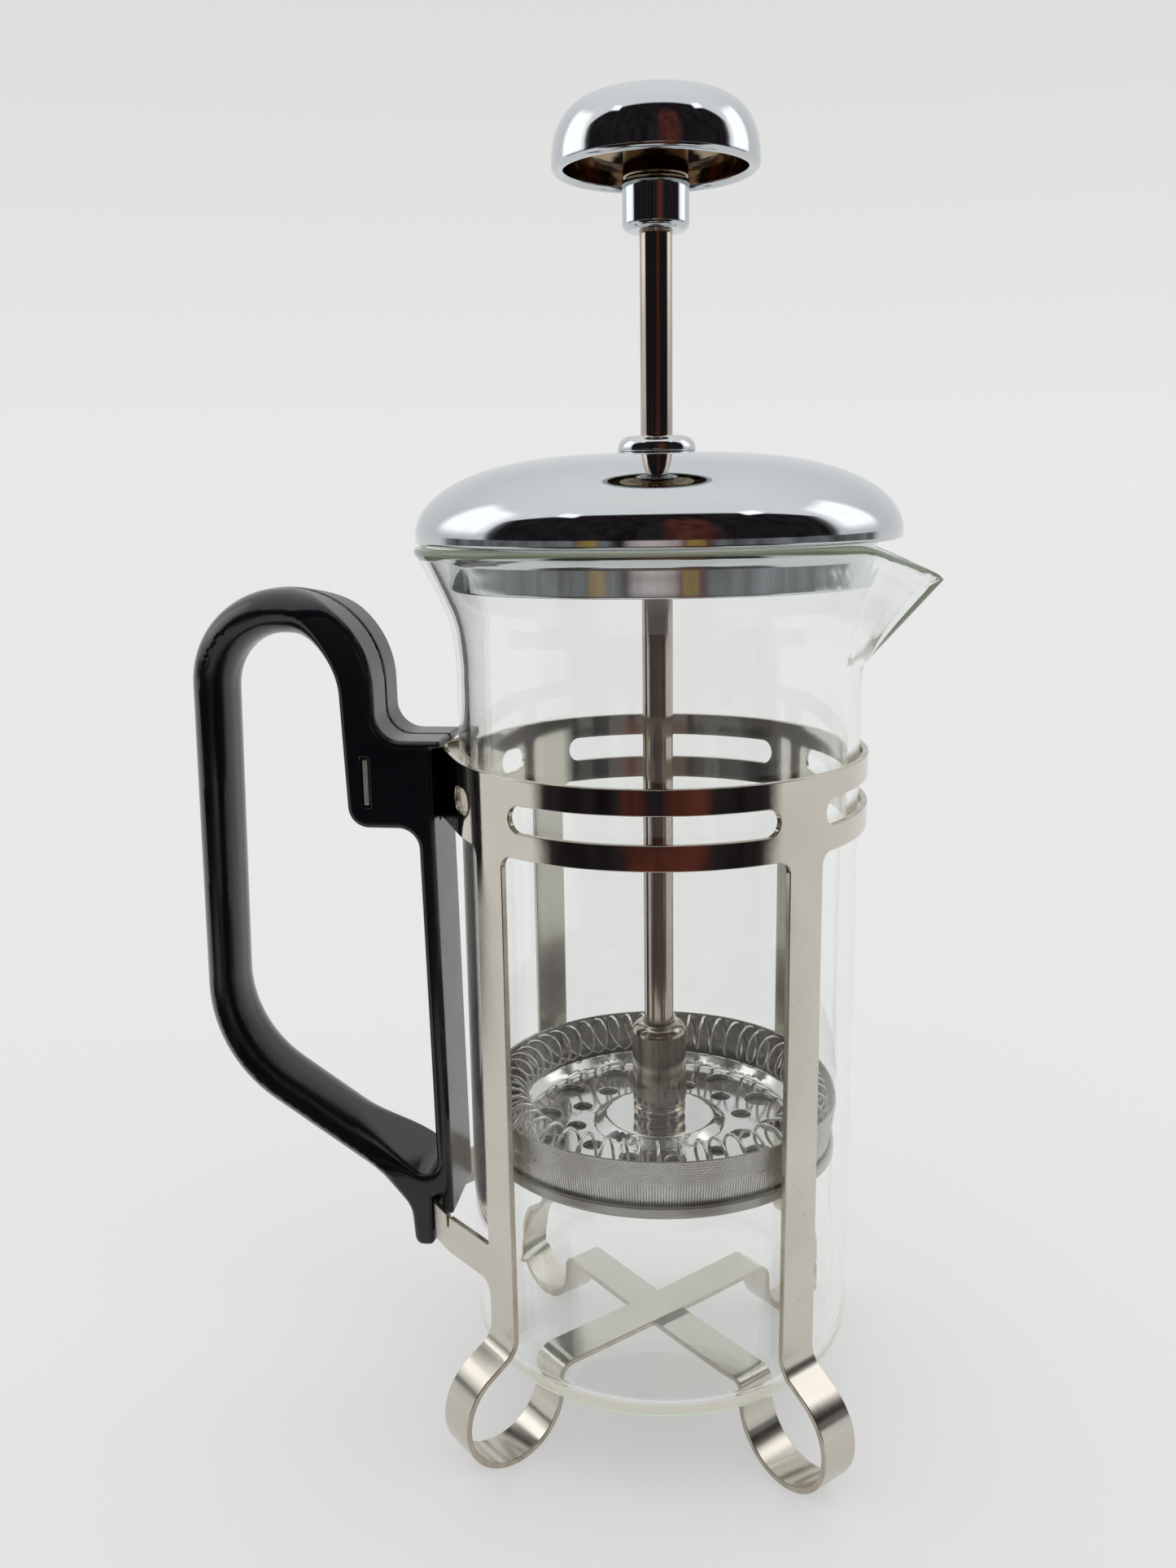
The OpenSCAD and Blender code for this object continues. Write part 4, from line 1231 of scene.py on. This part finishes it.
# name, first and last angle, lowest and highest z, radius, material, near, fall, soft
CARDS = [
    ("dark", -86, 84, 95, 950, 430, dark_room, None, 520, 0.03),
    ("dark_low", -72, 63, 2, 95, 430, dark_room, None, 0, 0.06),
    ("dark_floor", -72, 63, 1.2, 2, 430, dark_room, 190, 0, 0.1),
    ("brown", -2, 26, 2, 700, 426, brown, None, 0, 0.25),
    ("brown_left", -24, -8, 2, 95, 426, brown, None, 0, 0.3),
    ("brown_floor", -22, 26, 1.6, 2.4, 426, brown, 180, 0, 0.2),
    ("hub_left", -64, -34, 1.2, 1.8, 196, hub_brown, 110, 0, 0.3),
    ("hub_right", 4, 34, 1.2, 1.8, 196, hub_brown, 110, 0, 0.3),
    ("grey_left", -118, -16, 106, 168, 422, grey, None, 0, 0.1),
    ("grey_right", 16, 114, 106, 168, 422, grey, None, 0, 0.1),
    ("gold_left", -38, -27, 104, 176, 420, gold, None, 0, 0.2),
    ("gold_right", 8, 18, 104, 174, 420, gold, None, 0, 0.2),
    ("pink", -18, 9, 110, 172, 419, pink, None, 0, 0.15),
    ("white_left", -126, -84, 190, 620, 424, white, None, 0, 0.2),
    ("white_right", 84, 118, 190, 620, 424, white, None, 0, 0.2),
    ("soft_left", -66, -50, 620, 790, 420, white, None, 0, 0.2),
    ("soft_right", 48, 64, 620, 790, 420, white, None, 0, 0.2),
    ("tent_wall", -110, 110, 240, 1000, 446, tent, None, 0, 0.1),
    ("tent_roof", -110, 110, 1000, 1120, 200, tent, 446, 0, 0.3),
]
for name, *shape in CARDS:
    card("card_" + name, *shape)

BACKDROP, BACKDROP_TOP, TOP_AT = (0.817, 0.817, 0.812), (0.715, 0.71, 0.70), 0.36
FLOOR_GAP = 0.05
SPOKES, FLOOR_RINGS = 96, [600, 2500, 9000, 30000]
g = new_material("pale_floor")
soft = g.spread(g.noise(0.004, 3), 0, 1)
g.surface(Base_Color=g.blend(soft, (0.48, 0.48, 0.475), (0.465, 0.465, 0.46)),
          Emission_Color=(1.0, 1.0, 0.995), Emission_Strength=0.388,
          Roughness=0.9, Specular_IOR_Level=0.0)
a = np.linspace(0, 2 * math.pi, SPOKES + 1)[:-1]
rounds = polar(np.array(FLOOR_RINGS)[:, None], a, 0).reshape(-1, 3)
faces = [(0, 1 + i, 1 + (i + 1) % SPOKES) for i in range(SPOKES)]
faces += [f[::-1] for f in grid_faces(len(FLOOR_RINGS), SPOKES, first=1)]
floor = mesh_object("floor", np.vstack([[[0, 0, 0]], rounds]), faces, g.owner)
floor.location.z = -FLOOR_GAP * MM

g = Graph(bpy.data.worlds.new("studio"))
scene.world = g.owner
height = g.add("SeparateXYZ", "Z", Vector=g.add("TexCoord", "Generated"))
ramp = g.nodes.new("ShaderNodeValToRGB")
g.feed(ramp, Fac=height)
ends = ramp.color_ramp.elements
ends[0].color, ends[1].color = (0.76, 0.77, 0.775, 1), (1.02, 1.02, 1.01, 1)
for at, colour in ((0.15, (0.74, 0.755, 0.765)), (0.5, (0.80, 0.81, 0.815)),
                   (0.8, (0.95, 0.95, 0.95))):
    ends.new(at).color = (*colour, 1)
seen = g.calc("MAXIMUM", g.add("LightPath", "Is Camera Ray"),
              g.add("LightPath", "Is Transmission Ray"))
seen = g.calc("SUBTRACT", seen, reflected(g))
plain = g.blend(g.spread(height, 0, 1, 0.0, TOP_AT), BACKDROP, BACKDROP_TOP)
g.feed(g.nodes["Background"], Color=g.blend(seen, ramp.outputs["Color"], plain))
